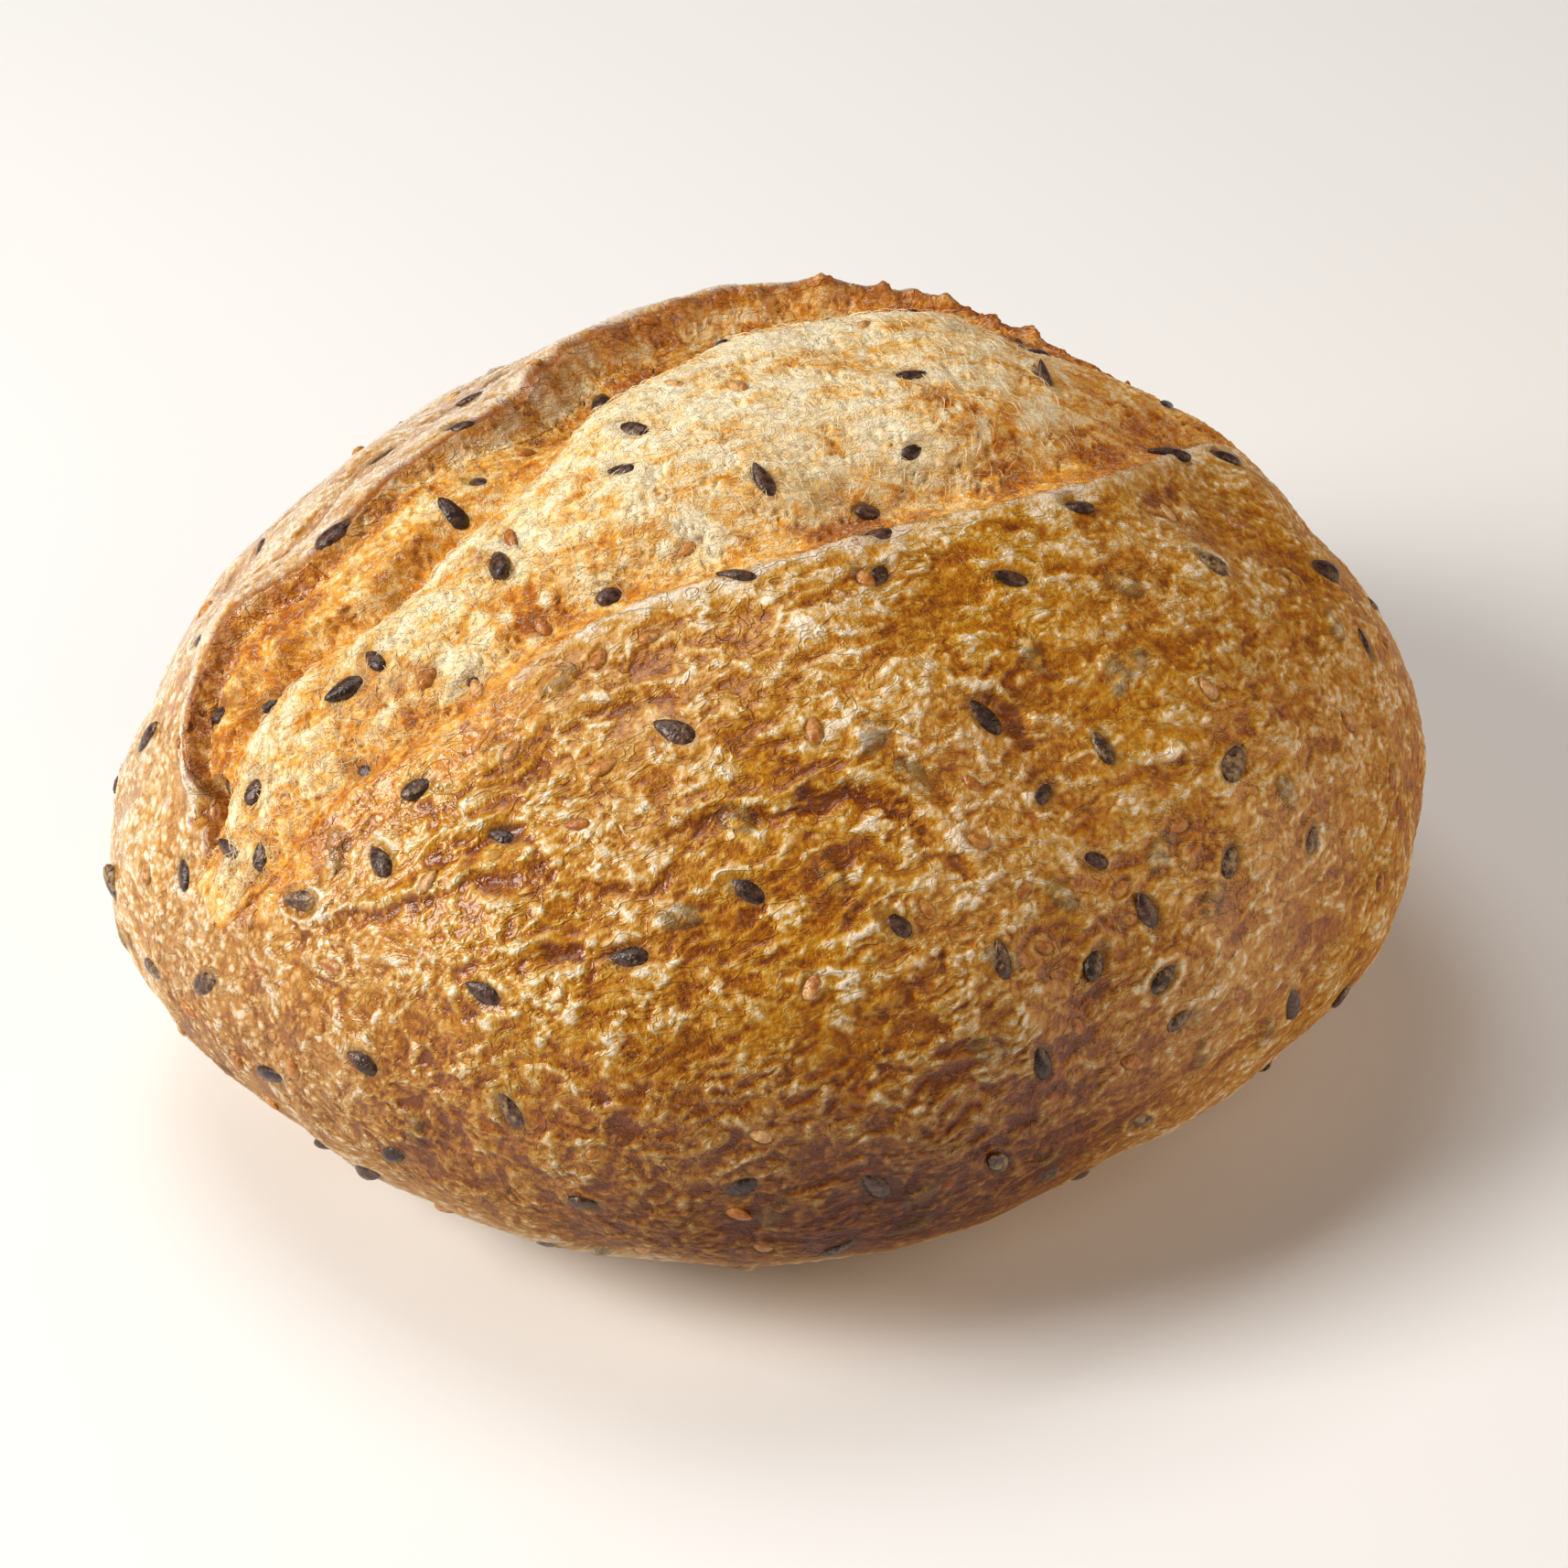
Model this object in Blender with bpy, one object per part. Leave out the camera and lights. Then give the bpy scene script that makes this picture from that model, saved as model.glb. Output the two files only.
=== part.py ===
"""A seeded multigrain loaf: one round-ended loaf, split along its top, with its seeds in the crust.

Units are metres, +Z is up. +X runs along the score, +Y to the back, and the origin is the middle of
the flat sole. A place on the skin is two angles in degrees: along, from the end at -X (0) to the end
at +X (180), and around, from the top (0) over the back (+90) or the front (-90).
"""
import math

import bmesh
import bpy
import numpy as np
from mathutils import Matrix, Vector
from mathutils.bvhtree import BVHTree

MM = 0.001

# The plain loaf, a dome over a shallow underside
LENGTH = 0.1455
WIDTH = 0.1345
WAIST = 0.029  # height of the widest line
RISE = 0.0464  # from the waist to the top
FALL = 0.0334  # from the waist down, if the sole did not cut it flat
DOME_POWER = 1.9
UNDER_POWER = 2.2
SOLE_BLEND = 0.0015  # how softly the side turns into the sole
MIDDLE = (0.0010, 0.0004, WAIST)  # of the plain loaf, so that the whole box stands centred on the origin
PLAN_SWELLS = ((2, 0.012, 35), (3, 0.006, -55), (4, 0.0195, -33), (5, 0.010, 34))  # (bumps, share, bearing)

# The split. Its lips are (along, around), its ear is (along, mm)
SPLIT_ENDS = (17, 150)
FRONT_LIP = ((17, -34), (26, -27), (36, -23), (50, -21), (62, -17), (92, -18), (109, -17), (122, -14),
             (132, -9), (142, -5), (150, -3))
BACK_LIP = ((17, -10), (21, -5), (25, 6), (31, 15), (39, 20), (50, 15), (61, 18), (72, 20), (82, 27),
            (94, 32), (115, 33), (130, 27), (142, 16), (150, 10))
EAR = ((17, 0), (26, 2.2), (60, 2.4), (80, 2.6), (90, 3.2), (100, 3.6), (110, 3.8), (119, 2.4), (129, 0.5),
       (150, 0))
EAR_WALL = 0.94  # share of the way across at which the ear's inner wall starts
SHOULDER = 16  # degrees behind the back lip over which the ear falls to the plain loaf

# The crumb between the lips, (share of the way across, mm over the plain loaf)
END_CRUMB = ((0, 0), (0.3, 0.2), (0.6, 0.4), (0.8, -0.5), (0.92, -0.8), (1, -0.6))
LEFT_CRUMB = ((0, 0.3), (0.05, -0.8), (0.2, 0.2), (0.42, 1.6), (0.54, 0.9), (0.62, -2.6), (0.68, -2.3),
              (0.74, 0.6), (0.82, 0.8), (0.9, 0.7), (0.94, 0.5), (1, -0.3))
MIDDLE_CRUMB = ((0, 0.6), (0.04, -0.6), (0.2, 2.2), (0.42, 3.8), (0.6, 3.0), (0.74, -1.8), (0.82, -4.0),
                (0.9, -3.4), (1, -1.0))
RIGHT_CRUMB = ((0, 0.5), (0.05, -0.5), (0.3, 1.0), (0.6, 1.2), (0.8, -0.6), (0.92, -0.6), (1, 0))
CRUMBS = (END_CRUMB, LEFT_CRUMB, MIDDLE_CRUMB, RIGHT_CRUMB)
TURNS = ((27, 42), (58, 82), (104, 126))  # along over which each way across turns into the next
# Two torn bubbles, the corner where the front lip ends, and a swell low at the wide end, as
# (along, around, radius mm, height mm)
SPOTS = ((37, 7, 4.5, -3.6), (24, 1, 3.0, -2.6), (143, -8, 11, 1.8), (15, 118, 20, 1.6))

# Relief of the crust: (length of a lump mm, height mm, seed)
LUMPS = ((30, 0.7, 3), (14, 0.45, 8))
RAGGED = (7, 0.5, 21)  # the ear's torn edge

# The mesh of the loaf
ROWS = 46
COLUMNS = 62
SPLIT_COLUMNS = 20
LIP_CROWDING = 0.5  # 0 spaces the columns evenly, 1 crowds them at the lips

# The dark seeds, drop-shaped and half sunk
SEED_LENGTH = 0.0048
SEED_WIDTH = 0.0027
SEED_THICKNESS = 0.0019
SEED_PROUD = 0.0002  # of a seed's middle over the crust
SEED_SEGMENTS = 5
SEED_RINGS = 4
SEED_COUNT = 118
SEED_GAP = 0.0082  # least distance between two seeds' middles
SEED_FLOOR = 0.009  # no seed lies lower than this
SHOWN_SEEDS = (  # the seeds that stand out, (along, around, turn)
    (45, -26, 10), (57, -55, 175), (68, -50, 130), (78, -58, 125), (102, -48, 95), (114, -55, 35),
    (95, -51, 30), (97, -60, 150), (101, -68, 105), (95, -71, 45), (101, -77, 30), (88, -80, 100),
    (103, -84, 5), (111, -66, 55), (121, -69, 50), (92, -41, 110), (68, -31, 130), (101, -27, 160),
    (38, -34, 100), (30, -74, 160), (44, -78, 115), (50, -97, 0), (73, -93, 125), (62, -4, 80),
    (85, -9, 100), (78, 2, 120), (82, 22, 60), (68, 21, 130), (53, 16, 5), (103, 0, 5),
    (118, 0, 105), (93, -14, 5), (69, -13, 5), (44, -7, 175), (110, -19, 150), (140, -48, 90),
)

CRUST_COLOUR = (0.62, 0.34, 0.13, 1.0)
CRUST_ROUGHNESS = 0.45


def smooth_curve(at, knots):
    """A smooth line through hand-chosen (place, value) knots, read at any place."""
    x, y = np.array(knots, float).T
    slope = np.gradient(y, x)
    i = np.clip(np.searchsorted(x, at) - 1, 0, len(x) - 2)
    span = x[i + 1] - x[i]
    t = np.clip((at - x[i]) / span, 0, 1)
    bend = span * t * (1 - t) * (slope[i] * (1 - t) - slope[i + 1] * t)
    return y[i] + (y[i + 1] - y[i]) * t * t * (3 - 2 * t) + bend


def ramp(value, low, high):
    """0 below low, 1 above high, and smooth between them."""
    t = np.clip((value - low) / (high - low), 0, 1)
    return t * t * (3 - 2 * t)


def waves(points, length, seed, count=12):
    """Seeded noise from about -1 to 1, whose lumps are about one length apart."""
    draw = np.random.default_rng(seed)
    ways = draw.normal(size=(count, 3))
    ways /= np.linalg.norm(ways, axis=1, keepdims=True)
    ways *= 2 * math.pi / (length * draw.uniform(0.7, 1.4, (count, 1)))
    turns = draw.uniform(0, 2 * math.pi, count)
    return np.sin(points @ ways.T + turns).sum(axis=-1) * 0.63 / math.sqrt(count)


def plain_loaf(along, around):
    """Points and outward normals of the loaf before its split opened."""
    s, t = np.radians(along), np.radians(around)
    way = np.stack([-np.cos(s), np.sin(s) * np.sin(t), np.sin(s) * np.cos(t)], -1)
    upper = way[..., 2] > 0
    height = np.where(upper, RISE, FALL)
    power = np.where(upper, DOME_POWER, UNDER_POWER)
    flat = np.maximum(np.hypot(way[..., 0], way[..., 1]), 1e-6)
    reach = (flat ** power + np.abs(way[..., 2]) ** power) ** (-1 / power)
    bearing = np.arctan2(way[..., 1], way[..., 0])
    swell = 1 + sum(share * np.cos(count * (bearing - math.radians(turn)))
                    for count, share, turn in PLAN_SWELLS)
    half = np.stack([LENGTH / 2 * swell, WIDTH / 2 * swell, height], -1)
    points = way * reach[..., None] * half + MIDDLE
    level = (flat * reach) ** (power - 2) * reach
    steep = (np.abs(way[..., 2]) * reach) ** (power - 1) * np.sign(way[..., 2])
    normals = np.stack([level * way[..., 0], level * way[..., 1], steep], -1) / half
    return points, normals / np.linalg.norm(normals, axis=-1, keepdims=True)


def split_relief(along, around):
    """Height in mm over the plain loaf that the split gives: ear, valley and risen crumb."""
    front = smooth_curve(along, FRONT_LIP)
    back = smooth_curve(along, BACK_LIP)
    across = (around - front) / (back - front)
    start, end = SPLIT_ENDS
    gape = ramp(along, start - 3, start + 7) * (1 - ramp(along, end - 14, end))
    crumb = smooth_curve(across, CRUMBS[0])
    for knots, (low, high) in zip(CRUMBS[1:], TURNS):
        crumb += (smooth_curve(across, knots) - crumb) * ramp(along, low, high)
    ear = smooth_curve(along, EAR)
    wall = ear * ramp(across, EAR_WALL, 1) * (1 - ramp(around - back, 0, SHOULDER))
    level = np.where(across < 0, 1 - ramp(front - around, 0, 6), 1 - ramp(across, 1, 1.05))
    return gape * (crumb * level + wall)


def skin(along, around):
    """Points of the loaf's surface, with its split, its lumps and its flat sole."""
    points, normals = plain_loaf(along, around)
    height = split_relief(along, around)
    for length, lift, seed in LUMPS:
        height = height + lift * waves(points, length * MM, seed)
    edge = np.exp(-((around - smooth_curve(along, BACK_LIP)) / 3) ** 2) * ramp(along, 40, 80)
    length, lift, seed = RAGGED
    height = height + edge * lift * waves(points, length * MM, seed)
    for spot_along, spot_around, radius, lift in SPOTS:
        middle, _ = plain_loaf(np.array(float(spot_along)), np.array(float(spot_around)))
        far = np.linalg.norm(points - middle, axis=-1) / (radius * MM)
        height = height + lift * (1 - ramp(far, 0.2, 1.2))
    points = points + normals * (height * MM)[..., None]
    z = points[..., 2]
    blend = (z + SOLE_BLEND) ** 2 / (4 * SOLE_BLEND)
    points[..., 2] = np.where(z < -SOLE_BLEND, 0, np.where(z > SOLE_BLEND, z, blend))
    return points


def crowded(share, crowding):
    """Shares from 0 to 1, moved towards both ends."""
    return share * (1 - crowding) + crowding * (1 - np.cos(math.pi * share)) / 2


def column_around(along, column):
    """The around of a mesh column at an along, with the columns crowded at the split's lips."""
    front = smooth_curve(along, FRONT_LIP)
    back = smooth_curve(along, BACK_LIP)
    within = front + (back - front) * crowded(column / SPLIT_COLUMNS, LIP_CROWDING)
    rest = (column - SPLIT_COLUMNS) / (COLUMNS - SPLIT_COLUMNS)
    beyond = back + (360 + front - back) * crowded(rest, LIP_CROWDING)
    return np.where(column <= SPLIT_COLUMNS, within, beyond)


def loaf_mesh():
    """The loaf without seeds: a sphere with its poles at both ends, moved onto the skin."""
    bm = bmesh.new()
    bmesh.ops.create_uvsphere(bm, u_segments=COLUMNS, v_segments=ROWS, radius=1)
    places = np.array([vert.co for vert in bm.verts])
    along = np.degrees(np.arccos(np.clip(places[:, 2], -1, 1)))
    turn = np.degrees(np.arctan2(places[:, 1], places[:, 0])) % 360
    column = np.round(turn / 360 * COLUMNS) % COLUMNS
    for vert, place in zip(bm.verts, skin(along, column_around(along, column))):
        vert.co = place
    bmesh.ops.triangulate(bm, faces=bm.faces)
    bmesh.ops.recalc_face_normals(bm, faces=bm.faces)
    return bm


def seed_places():
    """The shown seeds and others at seeded random places clear of them, as (along, around, turn)."""
    chosen = [tuple(map(float, seed)) for seed in SHOWN_SEEDS]
    middles = [skin(np.array(along), np.array(around)) for along, around, _ in chosen]
    draw = np.random.default_rng(5)
    while len(chosen) < SEED_COUNT:
        along = math.degrees(math.acos(draw.uniform(-1, 1)))
        around = draw.uniform(-180, 180)
        turn = draw.uniform(0, 180)
        middle = skin(np.array(along), np.array(around))
        clear = min(np.linalg.norm(middle - other) for other in middles)
        if clear > SEED_GAP * draw.uniform(1, 1.6) and middle[2] > SEED_FLOOR:
            chosen.append((along, around, turn))
            middles.append(middle)
    return chosen


def seed_mesh():
    """One dark seed, lying along X with its point at +X."""
    bm = bmesh.new()
    bmesh.ops.create_uvsphere(bm, u_segments=SEED_SEGMENTS, v_segments=SEED_RINGS, radius=0.5)
    bmesh.ops.rotate(bm, verts=bm.verts, matrix=Matrix.Rotation(math.pi / 2, 3, "Y"))
    for vert in bm.verts:
        taper = 1 - 0.5 * vert.co.x
        vert.co = Vector((vert.co.x * SEED_LENGTH, vert.co.y * SEED_WIDTH * taper,
                          vert.co.z * SEED_THICKNESS * taper))
    mesh = bpy.data.meshes.new("seed")
    bm.to_mesh(mesh)
    bm.free()
    return mesh


def seed_matrix(place, tree, size):
    """Where a seed lies: on the loaf's faces, turned in the plane of the skin."""
    along, around, turn = place
    tip = 0.5
    here = Vector(skin(np.array(along), np.array(around)))
    onward = Vector(skin(np.array(along + tip), np.array(around))) - here
    sideways = Vector(skin(np.array(along), np.array(around + tip))) - here
    out = onward.cross(sideways).normalized()
    middle, normal, _, _ = tree.find_nearest(here)
    if out.dot(normal) < 0:
        out.negate()
    out = (out + normal).normalized()
    lengthwise = onward.normalized() * math.cos(math.radians(turn))
    lengthwise += sideways.normalized() * math.sin(math.radians(turn))
    lengthwise = (lengthwise - out * lengthwise.dot(out)).normalized()
    turned = Matrix((lengthwise, out.cross(lengthwise), out)).transposed().to_4x4()
    return Matrix.Translation(middle + out * SEED_PROUD) @ turned @ Matrix.Scale(size, 4)


def crust_material():
    """Baked crust: golden brown with a low sheen."""
    material = bpy.data.materials.new("baked crust")
    material.use_nodes = True
    shader = material.node_tree.nodes["Principled BSDF"]
    shader.inputs["Base Color"].default_value = CRUST_COLOUR
    shader.inputs["Roughness"].default_value = CRUST_ROUGHNESS
    material.diffuse_color = CRUST_COLOUR
    return material


def make_loaf():
    for old in list(bpy.data.objects):
        bpy.data.objects.remove(old)
    bread = bpy.data.collections.new("seeded multigrain loaf")
    seeds = bpy.data.collections.new("seeds to join")
    bpy.context.scene.collection.children.link(bread)
    bpy.context.scene.collection.children.link(seeds)

    bm = loaf_mesh()
    tree = BVHTree.FromBMesh(bm)
    mesh = bpy.data.meshes.new("loaf")
    bm.to_mesh(mesh)
    bm.free()
    mesh.materials.append(crust_material())
    loaf = bpy.data.objects.new("loaf", mesh)
    bread.objects.link(loaf)

    shape = seed_mesh()
    sizes = np.random.default_rng(11).uniform(0.88, 1.1, SEED_COUNT)
    for number, (place, size) in enumerate(zip(seed_places(), sizes)):
        seed = bpy.data.objects.new(f"seed {number}", shape)
        seed.matrix_world = seed_matrix(place, tree, size)
        seed.hide_render = True
        seed.display_type = "WIRE"
        seeds.objects.link(seed)

    join = loaf.modifiers.new("seeds in the crust", "BOOLEAN")
    join.operation = "UNION"
    join.operand_type = "COLLECTION"
    join.collection = seeds
    join.solver = "EXACT"
    joined = bpy.data.meshes.new_from_object(loaf.evaluated_get(bpy.context.evaluated_depsgraph_get()))
    loaf.modifiers.clear()
    loaf.data = joined
    for seed in list(seeds.objects):
        bpy.data.objects.remove(seed)
    bpy.data.collections.remove(seeds)
    return loaf


make_loaf()
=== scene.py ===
import math

import bmesh
import bpy
import numpy as np
from mathutils import Matrix, Vector
from mathutils.bvhtree import BVHTree
from mathutils.kdtree import KDTree


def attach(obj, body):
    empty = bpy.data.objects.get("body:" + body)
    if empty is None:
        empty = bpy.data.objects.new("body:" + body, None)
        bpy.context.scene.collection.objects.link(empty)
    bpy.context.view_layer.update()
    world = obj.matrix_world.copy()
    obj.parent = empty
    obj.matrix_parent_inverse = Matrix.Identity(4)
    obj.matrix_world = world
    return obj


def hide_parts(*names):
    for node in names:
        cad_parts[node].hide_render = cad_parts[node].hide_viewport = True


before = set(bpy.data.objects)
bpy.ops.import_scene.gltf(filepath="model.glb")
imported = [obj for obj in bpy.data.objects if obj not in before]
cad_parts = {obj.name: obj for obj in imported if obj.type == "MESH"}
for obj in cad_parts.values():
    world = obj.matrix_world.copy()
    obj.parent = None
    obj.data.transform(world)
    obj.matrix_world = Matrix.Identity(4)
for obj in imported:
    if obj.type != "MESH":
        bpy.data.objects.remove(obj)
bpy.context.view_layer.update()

# A seeded multigrain loaf. Its skin is one fine mesh on the form of the CAD solid. Units are metres, +Z is up,
# +X runs along the score and +Y to the back. A place on the skin is two angles in degrees: along, from the end
# at -X (0) to the end at +X (180), and around, from the top (0) over the back (+90) or the front (-90).
MM = 0.001

# The plain loaf, a dome over a shallow underside
LENGTH = 0.1455
WIDTH = 0.1345
WAIST = 0.029
RISE = 0.0464
FALL = 0.0334
DOME_POWER = 1.9
UNDER_POWER = 2.2
SOLE_BLEND = 0.0015
MIDDLE = (0.0010, 0.0004, WAIST)
PLAN_SWELLS = ((2, 0.012, 35), (3, 0.006, -55), (4, 0.0195, -33), (5, 0.010, 34))

# The split, its lips and its ear
SPLIT_ENDS = (17, 150)
FRONT_LIP = ((17, -34), (26, -27), (36, -23), (50, -21), (62, -17), (92, -18), (109, -17), (122, -14),
             (132, -9), (142, -5), (150, -3))
BACK_LIP = ((17, -10), (21, -5), (25, 6), (31, 15), (39, 20), (50, 15), (61, 18), (72, 20), (82, 27),
            (94, 32), (115, 33), (130, 27), (142, 16), (150, 10))
EAR = ((17, 0), (26, 2.2), (60, 2.4), (80, 2.6), (90, 3.2), (100, 3.6), (110, 3.8), (119, 2.4), (129, 0.5),
       (150, 0))
EAR_WALL = 0.94
WALL_FOOT = 0.925  # share of the way across at which the back crust's piece starts
SHOULDER = 16
END_CRUMB = ((0, 0), (0.3, 0.2), (0.6, 0.4), (0.8, -0.5), (0.92, -0.8), (1, -0.6))
LEFT_CRUMB = ((0, 0.3), (0.05, -0.8), (0.2, 0.2), (0.42, 1.6), (0.54, 0.9), (0.62, -2.6), (0.68, -2.3),
              (0.74, 0.6), (0.82, 0.8), (0.9, 0.7), (0.94, 0.5), (1, -0.3))
MIDDLE_CRUMB = ((0, 0.6), (0.04, -0.6), (0.2, 2.2), (0.42, 3.8), (0.6, 3.0), (0.74, -1.8), (0.82, -4.0),
                (0.9, -3.4), (1, -1.0))
RIGHT_CRUMB = ((0, 0.5), (0.05, -0.5), (0.3, 1.0), (0.6, 1.2), (0.8, -0.6), (0.92, -0.6), (1, 0))
CRUMBS = (END_CRUMB, LEFT_CRUMB, MIDDLE_CRUMB, RIGHT_CRUMB)
TURNS = ((27, 42), (58, 82), (104, 126))
SPOTS = ((37, 7, 4.5, -3.6), (24, 1, 3.0, -2.6), (143, -8, 11, 1.8), (15, 118, 20, 1.6))
LUMPS = ((30, 0.7, 3), (14, 0.45, 8))
RAGGED = (7, 0.5, 21)

# The dark seeds
SEED_LENGTH = 0.0048
SEED_WIDTH = 0.0027
SEED_THICKNESS = 0.0019
SEED_COUNT = 118
SEED_GAP = 0.0082
SEED_FLOOR = 0.009
MORE_SEED_SIZE = 0.9
SEED_DENT = 0.25  # how deep a seed dents the skin, and how high a covered one lifts it, in mm
SEED_BULGE = 0.35
# Seeds as (along, around, turn): first others in the split, sunk deeper than those of the solid
MORE_SEEDS = (
    (75, -2, 145), (91, -18, 170), (79, -17, 155), (54, -15, 5), (48, -6, 90), (36, 8, 0), (33, 12, 15),
    (30, -8, 20), (22, -14, 95), (25, -22, 60), (66, 12, 100), (112, 8, 30), (88, 14, 60), (122, 12, 80),
    (99, -9, 20), (40, -18, 130), (121, 28, 60), (127, 25, 75), (134, 21.5, 80), (143, 14, 70), (148, 9, 60),
)
# dark seeds that show dimly through the film
COVERED_COUNT = 44
COVERED_GAP = 0.0052
COVERED_CLEAR = (-34, 36)  # around between which no other covered seed lies, as the split is there
COVERED_SEEDS = (
    (135, -42, 65), (108, -40, 35), (111, -30, 145), (119, -61, 115), (65, -96, 70), (77, -106, 25),
    (89, -99, 165), (113, -96, 75), (61, -21, 20), (86, -66, 150), (104, -62, 40), (93, -62, 120),
    (34, -29, 60), (99, -36, 90), (108, -70, 30), (84, -44, 110),
)
# those of the CAD solid that the photograph shows
SHOWN_SEEDS = (
    (45, -26, 10), (57, -55, 175), (68, -50, 130), (78, -58, 125), (102, -48, 95), (114, -55, 35),
    (95, -51, 30), (97, -60, 150), (101, -68, 105), (95, -71, 45), (101, -77, 30), (88, -80, 100),
    (103, -84, 5), (111, -66, 55), (121, -69, 50), (92, -41, 110), (68, -31, 130), (101, -27, 160),
    (38, -34, 100), (30, -74, 160), (44, -78, 115), (50, -97, 0), (73, -93, 125), (62, -4, 80),
    (85, -9, 100), (78, 2, 120), (82, 22, 60), (68, 21, 130), (53, 16, 5), (103, 0, 5),
    (118, 0, 105), (93, -14, 5), (69, -13, 5), (44, -7, 175), (110, -19, 150), (140, -48, 90),
)

# The golden seeds, those that the photograph shows as (along, around)
GOLDEN_LENGTH = 0.0031
GOLDEN_WIDTH = 0.0018
GOLDEN_THICKNESS = 0.0012
GOLDEN_COUNT = 110
GOLDEN_GAP = 0.006
SHOWN_GOLDEN_SEEDS = (
    (28, -52), (18, -79), (21, -87), (27, -37), (42, -40), (64, -2), (61, -2), (88, 3), (84, 6), (70, -20),
    (65, -20), (81, -58), (99, -64), (107, -60), (90, -67), (61, -32), (88, -22), (92, -78), (62, -97),
    (51, -83), (51, -12), (54, -16), (62, -13), (130, -22), (99, -68), (87, -53), (78, -36), (54, -27),
)

# The fine skin's mesh: rows from end to end, and columns over the crumb, the back, the underside and the front
ROWS = 800
CRUMB_COLUMNS = 158
BACK_COLUMNS = 200
UNDER_COLUMNS = 84
FRONT_COLUMNS = 420
SIDE = 118  # around at which the crust's side meets the underside
LIP_CROWDING = 0.35
RELIEF_SIZES = {"Bubble size": 0.00085, "Crinkle size": 0.0019, "Fold spacing": 0.0026,
                "Crumb cell size": 0.0013, "Fibre size": 0.0005, "Zone size": 0.0037}
PIECES = ("crumb_of_the_split", "front_crust_end", "front_crust_left", "front_crust_right", "front_crust_far_end",
          "back_crust_left", "back_crust_right", "underside_crust")
PIECE_BORDERS = (44, 90, 138)  # along between the front crust's pieces; the middle one is the back crust's too
CRUMB_ENDS = (15, 152)  # along between which the crumb piece reaches
HEART = (0, 0, 0.03)  # every piece of the skin is closed by a fan to this point inside the loaf

# Strands of torn crumb
STRANDS = 2200
STRAND_LENGTH = 0.0019
STRAND_THICKNESS = 0.00009
STRAND_BOW = 0.00028
STRAND_SINK = 0.00006

# Folds of the front crust, each a raised crest with an amber trough on its lower side:
# (height mm, half width mm, places along and around)
# the amber of each trough is partly the film's own colour and partly painted shade under the crest
FOLDS = (
    (1.1, 0.9, ((61, -40), (68, -40), (74, -41), (79, -41), (81, -43), (84, -47), (86, -53), (87, -57))),
    (0.6, 0.4, ((73, -58), (75, -55), (77, -53))),
    (0.9, 0.7, ((89, -37), (92, -37), (94, -38), (96, -43), (98, -44))),
    (0.7, 0.8, ((41, -34), (45, -34), (49, -34), (52, -34), (56, -33))),
    (0.6, 0.6, ((47, -53), (51, -51), (54, -52), (58, -52))),
    (0.5, 0.5, ((57, -44), (61, -46), (63, -44))),
    (0.6, 0.6, ((79, -60), (80, -63), (79, -64), (75, -67))),
    (0.7, 0.7, ((27, -40), (37, -40), (45, -40), (52, -40))),
    (0.5, 0.8, ((55, -24), (62, -24), (68, -25), (75, -26))),
    (0.6, 0.6, ((104, -51), (109, -51), (110, -52))),
    (0.5, 0.7, ((83, -20), (87, -21), (94, -22))),
)
# Greyish, see-through spots of the crumb: (along, around, radius mm)
DAMP = ((88, -11, 4.5), (97, -12, 4), (47, -10, 3.5))
# Browned and burnt spots of the crumb: (along, around, radius mm, amount)
TOASTED = (
    (63, -11, 4.5, 0.9), (71, -4, 3.5, 0.5), (99, 2, 4.5, 0.55), (104, -6, 3.5, 0.95), (108, -9, 3.5, 0.8),
    (106, -14, 4, 0.7), (116, -10, 4.5, 0.8), (87, -16, 3.5, 0.8), (92, -16, 4, 0.9), (61, 16, 3.5, 0.9),
    (61, -12, 3.5, 0.8), (57, 14, 4.5, 0.55), (46, 13, 4.5, 0.8), (61, -6, 4, 0.5), (73, -11, 4, 0.5),
    (97, -14, 4, 0.5), (85, -12, 3, 0.45), (93, -7, 3, 0.35), (127, -6, 5, 0.6), (135, -9, 5, 0.6),
    (70, -8, 3, 0.5), (36, 14, 5, 0.6), (30, 6, 4, 0.55), (45, -12, 5, 0.45), (50, -16, 5, 0.5),
)
# Burnt peaks along the ear: (along, around, radius mm, height mm)
PEAKS = ((109, 33, 1.5, 1.5), (115, 33.5, 1.1, 1.0), (118, 33, 1.2, 1.0), (129, 27, 1.4, 1.3),
         (121, 31, 1.1, 0.8), (103, 32.5, 1.0, 0.7), (136, 22, 1.0, 0.9), (138.5, 19, 0.6, 1.3))

# The camera
AZIMUTH = math.radians(-27)
ELEVATION = math.radians(36)
AIM = (0.0010, 0.0004, 0.036)
DISTANCE = 0.5
SENSOR = 36
PICTURE = 1714  # the photograph's width and height in pixels
FOCAL_PIXELS = 4900
AIM_PIXEL = (845.2, 792.3)


def smooth_curve(at, knots):
    """A smooth line through given (place, value) knots, read at any place."""
    x, y = np.array(knots, float).T
    slope = np.gradient(y, x)
    i = np.clip(np.searchsorted(x, at) - 1, 0, len(x) - 2)
    span = x[i + 1] - x[i]
    t = np.clip((at - x[i]) / span, 0, 1)
    bend = span * t * (1 - t) * (slope[i] * (1 - t) - slope[i + 1] * t)
    return y[i] + (y[i + 1] - y[i]) * t * t * (3 - 2 * t) + bend


def ramp(value, low, high):
    """0 below low, 1 above high, and smooth between them."""
    t = np.clip((value - low) / (high - low), 0, 1)
    return t * t * (3 - 2 * t)


def band(value, middle, width):
    """1 at the middle, falling smoothly to both sides over about one width."""
    return np.exp(-((value - middle) / width) ** 2)


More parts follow.
